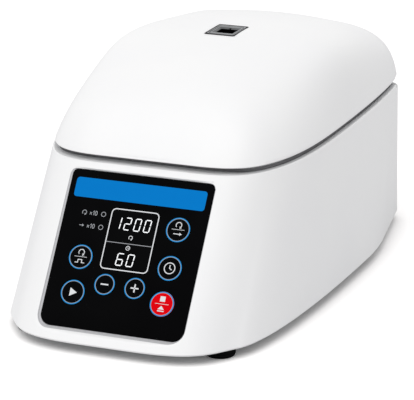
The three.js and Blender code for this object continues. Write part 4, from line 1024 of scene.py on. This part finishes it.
def lid_inside():
    """Grey liner: a flat plate cut to the lid, and a dome that is a quarter of an ellipse turned round."""
    hole = circle(DISH_FLAT + DISH_REACH, LINER_SIDES, AXIS)[::-1]
    slot = rounded(STRIKER_W, STRIKER_L, STRIKER_ROUND, steps=ROLL_STEPS)[::-1] + (0, STRIKER_Y)
    piece = Piece("lid_inside")
    piece.plate([liner_outline(), hole, slot], LINER_Z, LINER_TOP, LINER, LINER_ROUND, LINER_ROUND)
    turns = quarter(DISH_STEPS)
    lower, upper = (
        [(DISH_FLAT + (DISH_REACH + out) * math.sin(k), DISH_HIGH * math.cos(k) + out) for k in turns]
        for out in (0, LINER_THICK)
    )
    piece.add(lathe(lower + upper[::-1] + lower[:1], LINER_SIDES, AXIS, LINER_Z), LINER)
    piece.build("lid", "grey_plastic", ["lid_liner"])


# Steps of the port's frame, each run with its finish: inwards across, inwards along, and height from the
# crown. The black runs are painted shade: the gap round the frame, a groove between its ribs, and the bore
# down to the lens.
PORT_STEPS = (
    (PORT_PAINTED_SHADE, [(0, 0, -1.1), (0, 0, -0.2), (0.2, 0.2, 0), (1.3, 2.2, 0), (1.4, 2.4, -0.2)]),
    # The lighter grey runs are the ribs' painted highlight
    (FRAME_RIB_HIGHLIGHT, [(1.4, 2.4, -0.2), (1.5, 2.5, 0.0), (2.1, 4.0, 0.0), (2.2, 4.2, -0.3)]),
    (PORT_PAINTED_SHADE, [(2.2, 4.2, -0.3), (3.0, 5.4, -0.3)]),
    (FRAME_RIB_HIGHLIGHT, [(3.0, 5.4, -0.3), (3.1, 5.6, -0.1), (3.8, 7.2, -0.1), (3.9, 7.4, -0.4)]),
    (FRAME, [(3.9, 7.4, -0.4), (5.2, 8.8, -0.8), (5.6, 9.5, -1.0), (5.8, 9.8, -1.4)]),
    (PORT_PAINTED_SHADE, [(5.8, 9.8, -1.4), (5.7, 9.5, -2.4), (4.5, 4.5, -3.0), (4.5, 4.5, -11.2), (6.0, 6.0, -11.5),
            (6.0, 6.0, -13.0), (2.9, 2.9, -13.0), (2.9, 2.9, -1.1), (0, 0, -1.1)]),
)
PORT_NARROWING, PORT_SHARPEST = 0.25, 0.6
NOTCH_W, NOTCH_L, NOTCH_ROUND, NOTCH_IN, NOTCH_LOW, NOTCH_HIGH = 1.5, 3.4, 0.4, 8.2, -1.3, -0.62
LENS_IN, LENS_ROUND, LENS_LOW, LENS_HIGH, LENS_EDGE = 9.6, 1.2, -11.2, -9.2, 0.2


def sight_port():
    """Stepped grey frame round a bore in the crown, with the clear lens at its foot. The gap round the frame,
    a groove between its ribs, a notch and the bore are black, painted shade.
    """

    def step(across, lengthways, z):
        """Rounded outline of the frame, moved in by these amounts, at a height from the crown."""
        radius = max(PORT_ROUND - across * PORT_NARROWING, PORT_SHARPEST)
        loop = rounded(PORT_W - 2 * across, PORT_L - 2 * lengthways, radius, steps=FINE_STEPS)
        return level(loop + AXIS, CROWN_Z + z)

    piece = Piece("sight_frame")
    for finish, steps in PORT_STEPS:
        piece.add(grid([step(*sizes) for sizes in steps]), finish)
    # Black notch at the far end of the port: painted shade
    notch = rounded(NOTCH_W, NOTCH_L, NOTCH_ROUND, steps=ROLL_STEPS) + (0, AXIS_Y + PORT_L / 2 - NOTCH_IN)
    piece.add(prism(notch, CROWN_Z + NOTCH_LOW, CROWN_Z + NOTCH_HIGH), PORT_PAINTED_SHADE)
    piece.build("lid", "grey_plastic", ["window_frame"])
    lens = Piece("sight_lens")
    outline = rounded(PORT_W - LENS_IN, PORT_L - LENS_IN, LENS_ROUND) + AXIS
    lens.plate([outline], CROWN_Z + LENS_LOW, CROWN_Z + LENS_HIGH, CLEAR, LENS_EDGE)
    lens.build("lid", "clear_plastic", ["window_lens"])


# Chamber, with its profiles as radius and height

BOWL_Z, BOWL_WALL, BOWL_ROUND, BOWL_RADIUS, BOWL_FLANGE = 58, 1.5, 12, 88, 95
BOWL_HOLE, BOWL_TURN = 15, 76
SEAL_WALL, SEAL_WIDE = 1.5, 6.5
NUT_Z, NUT_GRIP, NUT_GRIP_FROM, NUT_RIBS = 22.3, 0.28, 11.7, 24
NUT_PROFILE = [
    (3.3, 0), (11.4, 0), (12, 0.6), (12, 12.6), *arc((10.6, 13.6), 1.4, 0, 90, 5), (4.5, 15),
    (4.2, 14.5), (0, 14.5), (0, 12), (3.3, 12), (3.3, 0),
]
ROTOR_PROFILE = [
    (7.3, 0), (30, 0), (32, 2), (66, 2), (70, 6), (70, 9), *arc((52.2, 40.2), 2.8, 35, 90, 4),
    *arc((49.6, 41.6), 1.4, 90, 135, 3), (24, 17), (22, 15), (13, 15), (13, 21.6), (12.6, 22),
    (5.3, 22), (7.3, 0),
]
TUBES, TUBE_RADIUS, TUBE_LEAN = 12, 5.6, math.radians(45)
TUBE_TOP, TUBE_FOOT, TUBE_DOME, TUBE_OUT, TUBE_UP = 8.0, -28.0, 3.0, 37, 30
ROTOR_CREASE = 30


def bowl():
    """Drawn steel bowl: up its outside from the shaft's hole, over its flange and down its inside."""
    top = DECK_Z - DECK_THICK - SEAT - BOWL_Z
    under, turn = top - BOWL_WALL, (BOWL_TURN, BOWL_ROUND)
    profile = [
        (BOWL_HOLE, 0), *arc(turn, BOWL_ROUND, -90, 0, 10), (BOWL_RADIUS, under), (BOWL_FLANGE, under),
        (BOWL_FLANGE, top), *arc((BOWL_RADIUS, under), BOWL_WALL, 90, 180, 4),
        *arc(turn, BOWL_ROUND - BOWL_WALL, 0, -90, 10), (BOWL_HOLE, BOWL_WALL), (BOWL_HOLE, 0),
    ]
    piece = Piece("bowl_steel").add(lathe(profile, TURNED_SIDES, AXIS, BOWL_Z), BOWL_STEEL)
    piece.build("base", "bright_steel", ["bowl"])


def mouth_seal():
    """Rubber ring in the mouth, lipped over the edge of the deck."""
    inner, lip = MOUTH - SEAT - SEAL_WALL, DECK_THICK + SEAT
    profile = [
        (inner, 0), (inner + SEAL_WALL, 0), (inner + SEAL_WALL, lip), (inner + SEAL_WIDE, lip),
        *arc((inner + 5.9, lip + 1.1), 0.6, 0, 90, 4), (inner + 3.9, lip + 1.4),
        *arc((inner + 1.0, lip + 0.7), 1.0, 90, 180, 5), (inner, 0),
    ]
    piece = Piece("mouth_seal").add(lathe(profile, TURNED_SIDES, AXIS, DECK_Z - DECK_THICK), SEAL)
    piece.build("base", "rubber", ["chamber_seal"])


def rotor_knob():
    """Turned nut whose grip is waved: the cosine of its ribs' number times the angle."""
    points, faces = lathe(NUT_PROFILE, NUT_SIDES, AXIS, ROTOR_Z + NUT_Z)
    x, y = points[:, 0], points[:, 1] - AXIS_Y
    angle = np.arctan2(x, y)
    wave = (np.hypot(x, y) > NUT_GRIP_FROM) * NUT_GRIP * (np.cos(NUT_RIBS * angle) - 1)
    points[:, 0] += np.sin(angle) * wave
    points[:, 1] += np.cos(angle) * wave
    piece = Piece("rotor_knob").add((points, faces), ROTOR_METAL)
    piece.build("rotor_set", "grey_aluminium", ["rotor_nut"])


def tube_pocket(number):
    """Round-ended hole for a tube, closed at both ends, leaning out from the axis and turned round it."""
    ring = circle(TUBE_RADIUS, SMALL_SIDES)
    rows = [level(ring, TUBE_TOP), level(ring, TUBE_FOOT)]
    for k in quarter(FINE_STEPS)[1:]:
        rows.append(level(ring * math.cos(k), TUBE_FOOT - TUBE_DOME * math.sin(k)))
    points, faces = grid(rows)
    faces += [[i, (i + 1) % SMALL_SIDES, len(points)] for i in range(SMALL_SIDES)]
    x, across, length = axes(np.concatenate([points, [[0, 0, TUBE_TOP]]]))
    c, s = math.cos(TUBE_LEAN), math.sin(TUBE_LEAN)
    out, up = TUBE_OUT + across * c - length * s, TUBE_UP + across * s + length * c
    turn = 2 * math.pi * number / TUBES
    c, s = math.cos(turn), math.sin(turn)
    return np.column_stack([x * c - out * s, AXIS_Y + x * s + out * c, ROTOR_Z + up]), faces


def rotor():
    """Fixed angle rotor: a turned body less its leaning pockets."""
    body = Piece("rotor_body").add(lathe(ROTOR_PROFILE, TURNED_SIDES, AXIS, ROTOR_Z), ROTOR_METAL).build(
        "rotor_set", "grey_aluminium", ["rotor"], crease=ROTOR_CREASE,
    )
    pockets = Piece("pockets")
    for number in range(TUBES):
        pockets.add(tube_pocket(number), ROTOR_METAL)
    cutter = show("pockets", pockets.mesh())
    cut = body.modifiers.new("pockets", "BOOLEAN")
    cut.object, cut.operation, cut.solver = cutter, "DIFFERENCE", "EXACT"
    graph = bpy.context.evaluated_depsgraph_get()
    mesh = bpy.data.meshes.new_from_object(body.evaluated_get(graph))
    body.modifiers.clear()
    body.data = mesh
    smooth(mesh, ROTOR_CREASE)
    bpy.data.objects.remove(cutter)


# Control panel, in the panel's frame: keys as X, Y and radius, the display as X, Y, width and height

KEYS = {
    "mode": (37.3, 24.0, 9.9), "time": (37.3, -6.9, 9.9), "stop_open": (37.3, -35.4, 9.9),
    "start": (-37.3, -35.4, 9.9), "short_spin": (-37.3, -6.9, 9.9),
    "minus": (-12.6, -26.1, 8.5), "plus": (12.6, -26.1, 8.5),
}
KEY_DIP, KEY_CROWN, KEY_STEM, KEY_DEEP, KEY_PLATE = 0.02, 0.14, 2.6, -4, -1.5
KEY_RINGS = ((0.48, 0.74, RING_BLUE), (1.02, 0.34, INK_GREY))
RING_LOW, RING_HIGH, SIGN_HIGH, SIGN_DEEP = 0.1, 0.04, 0.05, 0.16
LIGHTS = [(-26.3, 29.0), (-26.3, 18.4)]
LIGHT_RADIUS, LIGHT_FLAT, LIGHT_CROWN, LIGHT_RING = 2.1, 1.8, 0.12, 0.46
DISPLAY_X, DISPLAY_Y, DISPLAY_W, DISPLAY_H, DISPLAY_ROUND = 0.0, 10.7, 40.6, 49.6, 4.0
BAND_W, BAND_H, BAND_ROUND, BAND_Y = 109.8, 15.9, 2.5, 48.95
PRINT_LOW, PRINT_HIGH, PLATE_EDGE = -0.05, 0.05, 0.15
FULL_TURN, PATH_STEP = 360.0, 7.5


def ring_path(radius, start=0.0, end=FULL_TURN, centre=(0, 0)):
    """Arc between two angles in degrees, in even steps, and closed if it goes all the way round."""
    points = np.array(arc(centre, radius, start, end, int((end - start) / PATH_STEP)))
    return points[:-1] if end - start == FULL_TURN else points


# Printed signs of the keys: lines of path, width and whether closed, and filled shapes
TURN_ARROW = [(ring_path(2.3, -60, 220, (0, 3.7)), 0.62, False), ([(-5.2, 0.15), (5.2, 0.15)], 0.34, False)]
TURN_HEAD = [(1.0, 0.9), (2.6, 1.6), (0.9, 2.9)]
PULSE = [(-4.0, -4.6), (-1.6, -4.6), (-1.6, -2.2), (1.6, -2.2), (1.6, -4.6), (4.0, -4.6)]
SIGNS = {
    "plus": ([([(-3.3, 0), (3.3, 0)], 1.1, False), ([(0, -3.3), (0, 3.3)], 1.1, False)], []),
    "minus": ([([(-3.2, 0), (3.2, 0)], 1.1, False)], []),
    "start": ([], [[(-2.4, -3.4), (3.6, 0), (-2.4, 3.4)]]),
    "time": ([(ring_path(4.3), 0.75, True), ([(0, 2.6), (0, 0), (1.9, -1.1)], 0.75, False)], []),
    "mode": (
        [*TURN_ARROW, ([(-3.2, -3.4), (2.2, -3.4)], 0.62, False)],
        [TURN_HEAD, [(1.8, -4.6), (3.9, -3.4), (1.8, -2.2)]],
    ),
    "short_spin": ([*TURN_ARROW, (PULSE, 0.62, False)], [TURN_HEAD]),
    "stop_open": (
        [([(-5.6, 0.0), (5.6, 0.0)], 0.34, False), ([(-2.7, -5.6), (2.7, -5.6)], 0.8, False)],
        [[(-2.1, 1.9), (2.1, 1.9), (2.1, 6.1), (-2.1, 6.1)], [(-2.7, -4.4), (2.7, -4.4), (0, -1.4)]],
    ),
}

# Printed beside the lights, about each light: a turning and a straight arrow
LIGHT_SIGNS = (
    ([(ring_path(1.7, -50, 230, (-16.2, 0)), 0.5, False)], [[(-15.9, -2.2), (-14.4, -1.5), (-15.9, -0.5)]]),
    ([([(-18.2, 0), (-15.6, 0)], 0.5, False)], [[(-15.8, -1.1), (-14.2, 0), (-15.8, 1.1)]]),
)
TEN_X, TEN_Y, TEN_SIZE, TEN_LINE, TEN_SIDES = -11.6, -1.6, 3.4, 0.5, 18
TEN_PATHS = (
    ([(0, 0.1), (0.5, 0.65)], False), ([(0, 0.65), (0.5, 0.1)], False),
    ([(0.78, 0.78), (1.0, 1.0), (1.0, 0)], False), (circle(1, TEN_SIDES) * (0.25, 0.5) + (1.55, 0.5), True),
)

# Printed on the display: a rule, and between the readings a turning arrow and a clock
RULE = [([(-19.4, 8.0), (19.4, 8.0)], 0.5, False)]
DISPLAY_ARROW = (
    [(ring_path(1.5, -50, 230, (0.2, 13.0)), 0.5, False)], [[(0.5, 11.0), (1.9, 11.6), (0.6, 12.6)]],
)
CLOCK = [
    (ring_path(1.6, centre=(-0.2, 4.6)), 0.5, True),
    ([(-0.2, 5.6), (-0.2, 4.6), (0.6, 4.2)], 0.45, False),
]
LINE_IN, LINE_ROUND, LINE_WIDE = 1.3, 3.4, 0.85

# Readings: figures, the left edge of each, their foot, width and height
READINGS = (
    ("1200", (-15.6, -7.35, 0.9, 9.15), 18.9, 4.6, 9.6),
    ("60", (-7.6, 1.1), -9.7, 5.0, 9.4),
)
SEGMENTS = {"0": "abcdef", "1": "bc", "2": "abged", "6": "afgedc"}
SEGMENT_ENDS = {
    "a": ((0, 1), (1, 1)), "g": ((0, 0.5), (1, 0.5)), "d": ((0, 0), (1, 0)), "f": ((0, 0.5), (0, 1)),
    "b": ((1, 0.5), (1, 1)), "e": ((0, 0), (0, 0.5)), "c": ((1, 0), (1, 0.5)),
}
SEGMENT_THICK, SEGMENT_GAP, SEGMENT_LEAN = 0.82, 0.16, 1 / 12


def key_cap(kind):
    """Round membrane key: a cap crowned by a parabola, its blue ring, thin inner line and printed sign."""
    x, y, radius = KEYS[kind]

    def top(r):
        """Height of the cap's face at a distance from its middle."""
        return KEY_CROWN * (1 - (r / radius) ** 2) - KEY_DIP

    profile = [
        (0, KEY_DEEP), (KEY_STEM, KEY_DEEP), (KEY_STEM, KEY_PLATE), (radius - 0.2, KEY_PLATE),
        (radius, -1.3), *arc((radius - 0.25, -0.27), 0.25, 0, 90, 4),
        *((r, top(r)) for r in np.linspace(radius - 0.6, 0, 10)),
    ]
    piece = Piece(f"{kind}_key_cap", on_panel)
    piece.add(lathe(profile, KEY_SIDES, (x, y)), RED if kind == "stop_open" else OVERLAY)
    for inward, width, ink in KEY_RINGS:
        r = radius - inward
        ring = [(circle(r, KEY_SIDES), width, True)]
        piece.prints(ink, top(r) - RING_LOW, top(r) + RING_HIGH, ring, centre=(x, y))
    high = top(0) + SIGN_HIGH
    piece.prints(INK_WHITE, high - SIGN_DEEP, high, *SIGNS[kind], centre=(x, y))
    piece.build(f"{kind}_button", "red_plastic" if kind == "stop_open" else "black_plastic", [f"{kind}_key"])


def control_overlay():
    """Black overlay with holes for its keys, lights and display, and what is printed on it."""
    outline = rounded(PANEL_W, PANEL_H, PANEL_TOP_ROUND, PANEL_FOOT_ROUND, PANEL_ARC)
    holes = [circle(radius + SEAT, KEY_SIDES, (x, y)) for x, y, radius in KEYS.values()]
    holes += [circle(LIGHT_RADIUS + SEAT, LIGHT_HOLE_SIDES, light) for light in LIGHTS]
    window = rounded(DISPLAY_W + 2 * SEAT, DISPLAY_H + 2 * SEAT, DISPLAY_ROUND)
    holes.append(window + (DISPLAY_X, DISPLAY_Y))
    piece = Piece("control_overlay", on_panel)
    piece.plate([outline, *(hole[::-1] for hole in holes)], -PANEL_THICK, 0.0, OVERLAY, PLATE_EDGE)
    band = rounded(BAND_W, BAND_H, BAND_ROUND) + (0, BAND_Y)
    piece.prints(INK_BLUE, PRINT_LOW, PRINT_HIGH, shapes=[band])
    for light, signs in zip(LIGHTS, LIGHT_SIGNS):
        ten = [
            (np.asarray(path) * TEN_SIZE + (TEN_X, TEN_Y), TEN_LINE, closed) for path, closed in TEN_PATHS
        ]
        piece.prints(INK_GREY, PRINT_LOW, PRINT_HIGH, ten, centre=light)
        piece.prints(INK_GREY, PRINT_LOW, PRINT_HIGH, *signs, centre=light)
    piece.build("base", "black_plastic", ["control_panel"])


def segments(figure, x, y, width, height):
    """Outlines of a seven segment figure: bars with cut corners, sheared with their height."""
    made = []
    for name in SEGMENTS[figure]:
        p, q = np.array(SEGMENT_ENDS[name]) * (width, height)
        way = (q - p) / np.linalg.norm(q - p)
        p, q = p + way * SEGMENT_GAP, q - way * SEGMENT_GAP
        cut = way * SEGMENT_THICK / 2
        side = np.array([-cut[1], cut[0]])
        outline = np.array([p, p + cut - side, q - cut - side, q, q - cut + side, p + cut + side])
        outline[:, 0] += outline[:, 1] * SEGMENT_LEAN
        made.append(outline + (x, y))
    return made


def display_glass():
    """Smoked window with a printed line round it, a rule, two readings and two small signs."""
    centre = (DISPLAY_X, DISPLAY_Y)
    outline = rounded(DISPLAY_W, DISPLAY_H, DISPLAY_ROUND) + centre
    piece = Piece("display_glass", on_panel)
    piece.plate([outline], -PANEL_THICK, 0.0, SMOKED, PLATE_EDGE)
    frame_line = rounded(DISPLAY_W - LINE_IN, DISPLAY_H - LINE_IN, LINE_ROUND) + centre
    heights = (PRINT_LOW, PRINT_HIGH)
    piece.prints(INK_WHITE, *heights, [(frame_line, LINE_WIDE, True)])
    piece.prints(INK_GREY, *heights, RULE)
    for figures, lefts, foot, width, height in READINGS:
        for figure, left in zip(figures, lefts):
            piece.prints(DIGIT, *heights, shapes=segments(figure, left, foot, width, height))
    piece.prints(INK_WHITE, *heights, *DISPLAY_ARROW)
    piece.prints(INK_WHITE, *heights, CLOCK)
    piece.build("base", "smoked_plastic", ["display_window"])


def light(number, centre):
    """Indicator light: a low dome, the quarter of an ellipse turned round, in a printed ring."""
    profile = [
        (0, -3), (LIGHT_RADIUS, -3), (LIGHT_RADIUS, -0.2), *arc((LIGHT_FLAT, -0.3), 0.3, 0, 90, 3),
        *((LIGHT_FLAT * math.cos(k), LIGHT_CROWN * math.sin(k)) for k in np.linspace(0.2, math.pi / 2, 6)),
    ]
    piece = Piece(f"light_{number}", on_panel).add(lathe(profile, SMALL_SIDES, centre), SMOKED)
    ring = [(circle(LIGHT_FLAT, SMALL_SIDES, centre), LIGHT_RING, True)]
    piece.prints(INK_GREY, -PLATE_EDGE, LIGHT_CROWN, ring)
    piece.build("base", "smoked_plastic", [f"indicator_light_{number}"])


# Feet and hinges, with their profiles as radius and height

SIDES = {"left": -1, "right": 1}
FEET = {
    "front_left": (-79.5, 42.0), "front_right": (79.5, 42.0),
    "rear_left": (-84, 372), "rear_right": (84, 372),
}
FOOT_PROFILE = [
    (0, 0.9), (6.9, 0.9), (7.6, 0.0), (10.1, 0.0), *arc((10.4, 1.0), 1.0, -60, 0, 4), (12.0, 2.2),
    (11.9, 3.2), (11.5, 3.5), (11.7, 4.0), (11.4, 6.5), (10.9, 8.9), (0, 8.9), (0, 0.9),
]
PIN_PROFILE = [(0, -1.5), (2.6, -1.5), (3.2, -1.0), (3.2, 0), (2.0, 0), (2.0, 17.5), (1.7, 17.8), (0, 17.8)]
PIN_SIDES, PIN_IN = 32, 5.8
COIL_OUT, COIL_TURNS, COIL_STEPS, COIL_SIDES = 6.6, 4, 40, 10
COIL_WIRE, COIL_RADIUS, COIL_PITCH = 0.4, 3.1, 1.1


def rubber_foot(name):
    """Turned rubber foot with a waist groove and a dished tread."""
    piece = Piece(f"rubber_foot_{name}").add(lathe(FOOT_PROFILE, KEY_SIDES, FEET[name]), RUBBER)
    piece.build("base", "rubber", [f"foot_{name}"])


def coil(label, side):
    """Torsion spring: a round wire carried along a helix about the hinge pin."""
    angle = np.linspace(0, 2 * math.pi * COIL_TURNS, COIL_TURNS * COIL_STEPS + 1)
    section = 2 * math.pi * np.arange(COIL_SIDES) / COIL_SIDES
    turn, round_wire = np.meshgrid(angle, section, indexing="ij")
    reach = COIL_RADIUS + COIL_WIRE * np.cos(round_wire)
    x = HINGE_X + COIL_OUT + COIL_PITCH * turn / (2 * math.pi) + COIL_WIRE * np.sin(round_wire)
    rows = np.stack([side * x, HINGE_Y + reach * np.cos(turn), HINGE_Z + reach * np.sin(turn)], -1)
    points, faces = grid(rows)
    faces += [list(range(COIL_SIDES))[::-1], list(range(len(points) - COIL_SIDES, len(points)))]
    piece = Piece(f"hinge_coil_{label}").add((points, faces), STEEL)
    piece.build("base", "zinced_steel", [f"lid_spring_{label}"])


def hinge_pin(label, side):
    """Pin turned about the hinge's own axis, with a domed head at its inner end."""
    points, faces = lathe(PIN_PROFILE, PIN_SIDES)
    y, z, x = points.T
    points = np.column_stack([side * (HINGE_X - PIN_IN + x), HINGE_Y + y, HINGE_Z + z])
    piece = Piece(f"hinge_rod_{label}").add((points, faces), STEEL)
    piece.build("base", "bright_steel", [f"hinge_pin_{label}"])


# Rear

SCREWS = ((-69, 30), (69, 30), (-69, 102), (69, 102))
SCREW_HEAD = [(0, -0.3), (3.0, -0.3), *arc((1.8, 0.0), 1.2, 15, 90, 5)]
SCREW_FLAT, SCREW_TOP, CROSS_FLOOR = 1.8, 1.2, 0.5
CROSS_WIDE, CROSS_LONG = 0.45, 1.5
CROSS_ARM = [(CROSS_LONG, -CROSS_WIDE), (CROSS_LONG, CROSS_WIDE), (CROSS_WIDE, CROSS_WIDE)]
ROCKER_X, ROCKER_IN, ROCKER_Z, ROCKER_LEAN = -48.0, 3.0, 54.5, math.radians(7)
ROCKER_VALLEY, ROCKER_TIP, ROCKER_HALF = 1.8, 3.6, 6.3
ROCKER_MARKS = {
    1: [([(0, 2.2), (0, 5.0)], 0.7, False)],
    -1: [(ring_path(1.3, centre=(0, 3.6)), 0.5, True)],
}
MARK_LOW, MARK_HIGH = -0.05, 0.06


def on_rear(points):
    """Millimetres on the rear face (X across as seen from in front, Y up, Z out of it) to the drawing."""
    x, y, z = axes(points)
    return np.stack([x, DEPTH + z, y], -1)


def on_rocker(half):
    """Frame of one half of the rocker: X across, Y from its valley to its tip, Z out of it."""
    rise = np.array([ROCKER_TIP - ROCKER_VALLEY, half * ROCKER_HALF])
    rise /= np.hypot(*rise)
    out = np.array([rise[1] * half, -rise[0] * half])
    c, s = math.cos(ROCKER_LEAN), math.sin(ROCKER_LEAN)

    def to_drawing(points):
        """The half's own millimetres to the drawing."""
        x, y, z = axes(points)
        back = ROCKER_VALLEY + y * rise[0] + z * out[0]
        up = y * rise[1] + z * out[1]
        y = DEPTH - ROCKER_IN + back * c + up * s
        return np.stack([ROCKER_X + x, y, ROCKER_Z - back * s + up * c], -1)

    return to_drawing


def rear_screws():
    """Four cross-head screws in the corners of the rear panel: the cross is one arm turned four times."""
    arm = np.array(CROSS_ARM)
    cross = []
    for _ in range(4):
        cross.append(arm)
        arm = np.column_stack([-arm[:, 1], arm[:, 0]])
    piece = Piece("rear_screws", on_rear)
    for centre in SCREWS:
        slot = np.concatenate(cross) + centre
        piece.add(lathe(SCREW_HEAD, SMALL_SIDES, centre), STEEL)
        piece.add(fill([circle(SCREW_FLAT, SMALL_SIDES, centre), slot[::-1]], SCREW_TOP), STEEL)
        piece.add(grid([level(slot, SCREW_TOP), level(slot, CROSS_FLOOR)]), STEEL)
        piece.add(fill([slot], CROSS_FLOOR), STEEL)
    piece.build("base", "bright_steel")


def rocker_marks():
    """A bar on one half of the rocker and a ring on the other."""
    piece = Piece("rocker_marks")
    for half, lines in ROCKER_MARKS.items():
        piece.frame_of = on_rocker(half)
        piece.prints(INK_WHITE, MARK_LOW, MARK_HIGH, lines)
    piece.build("rocker", "white_plastic")


# Camera, light and ground

CAMERA_AT, CAMERA_DIP, CAMERA_TURN = (0.7530, -1.8840, 0.7000), 17.4, 21.8
LENS, SENSOR, CLIP_NEAR, CLIP_FAR = 223.16, 36.0, 0.1, 50.0
PLAIN = (1, 1, 1, 1)
GROUND, GROUND_SHADE, GROUND_SEEN = (0.77, 0.77, 0.78, 1), (0.76, 0.76, 0.77, 1), (1.26, 1.245, 1.24, 1)
GROUND_LIFT, GROUND_HALF = 0.04, 30
SKY, SKY_SEEN = 0.64, 1.0
KEY_POWER, KEY_SPREAD, KEY_FROM = 1.17, 66.0, (-0.1, -0.4, 0.92)


def camera():
    """Camera at the photograph's angle."""
    made = show("camera", bpy.data.cameras.new("camera"))
    made.data.lens, made.data.sensor_width = LENS, SENSOR
    made.data.clip_start, made.data.clip_end = CLIP_NEAR, CLIP_FAR
    made.location = CAMERA_AT
    made.rotation_euler = (math.radians(90 - CAMERA_DIP), 0, math.radians(CAMERA_TURN))
    bpy.context.scene.camera = made


def ground():
    """Pale ground, which the camera sees as white with the object's shadow on it."""
    f = Finish("ground_white")
    tone = f.mix(f.range(f.noise(scale=6.0, detail=2.0), low=0.4, high=0.6), GROUND, GROUND_SHADE)
    plain = f.add("ShaderNodeBsdfDiffuse", None, {"Color": tone})
    seen = f.add("ShaderNodeBsdfDiffuse", None, {"Color": GROUND_SEEN})
    lift = f.add("ShaderNodeEmission", None, {"Color": PLAIN, "Strength": GROUND_LIFT})
    bright = f.add("ShaderNodeAddShader", None, {0: seen, 1: lift})
    ray = f.add("ShaderNodeLightPath", output="Is Camera Ray")
    both = f.add("ShaderNodeMixShader", None, {0: ray, 1: plain, 2: bright})
    f.add("ShaderNodeOutputMaterial", None, {"Surface": both})
    h = GROUND_HALF
    mesh = bpy.data.meshes.new("ground")
    mesh.from_pydata([(-h, -h, 0), (h, -h, 0), (h, h, 0), (-h, h, 0)], [], [(0, 1, 2, 3)])
    mesh.materials.append(f.material)
    show("ground", mesh)


def sky():
    """Even light all round, which the camera, gloss and glass see as white."""
    world = bpy.data.worlds.new("studio")
    bpy.context.scene.world = world
    nodes = Nodes(world)
    seen = nodes.add("ShaderNodeLightPath", output="Is Camera Ray")
    rays = [seen.beside("Is Glossy Ray"), seen.beside("Is Transmission Ray")]
    for ray in rays:
        seen = nodes.add("ShaderNodeMath", dict(operation="ADD", use_clamp=True), {0: seen, 1: ray})
    even = nodes.add("ShaderNodeBackground", None, {"Color": PLAIN, "Strength": SKY})
    white = nodes.add("ShaderNodeBackground", None, {"Color": PLAIN, "Strength": SKY_SEEN})
    both = nodes.add("ShaderNodeMixShader", None, {0: seen, 1: even, 2: white})
    nodes.add("ShaderNodeOutputWorld", None, {0: both})


def key_light():
    """One broad soft light from the upper left, turned to shine from KEY_FROM to the origin."""
    made = show("key", bpy.data.lights.new("key", "SUN"))
    made.data.energy, made.data.angle = KEY_POWER, math.radians(KEY_SPREAD)
    across, back, up = KEY_FROM
    made.rotation_euler = (math.atan2(math.hypot(across, back), up), 0, math.atan2(across, -back))
    made.location = KEY_FROM


camera()
ground()
sky()
key_light()
bpy.context.scene.view_settings.view_transform = "Standard"

housing_skin()
lid_skin()
lid_inside()
sight_port()
bowl()
mouth_seal()
rotor_knob()
rotor()
control_overlay()
display_glass()
for number, centre in enumerate(LIGHTS, 1):
    light(number, centre)
for kind in KEYS:
    key_cap(kind)
for name in FEET:
    rubber_foot(name)
rear_screws()
rocker_marks()
for label, side in SIDES.items():
    coil(label, side)
    hinge_pin(label, side)
dress(
    ZINC, "hinge_bracket_left", "hinge_bracket_right", "hinge_arm_left", "hinge_arm_right",
    "lid_striker", "latch_frame", "latch_hook", "motor_plate", "base_pan", soften=0.3,
)
dress(STEEL, "latch_pin", "latch_plunger", "drive_shaft", "motor")
dress(BLACK, "power_inlet", "switch_bezel", "fuse_drawer", soften=0.35)
dress(REAR_GREY, "rear_panel", soften=0.35)
dress(ROCKER_RED, "power_rocker", soften=0.35)
dress(BLACK, "display_module")
dress(RUBBER, "motor_damper_1", "motor_damper_2", "motor_damper_3")
dress(BOARD, "control_board", "power_board")
dress(COPPER, "transformer", "latch_solenoid")
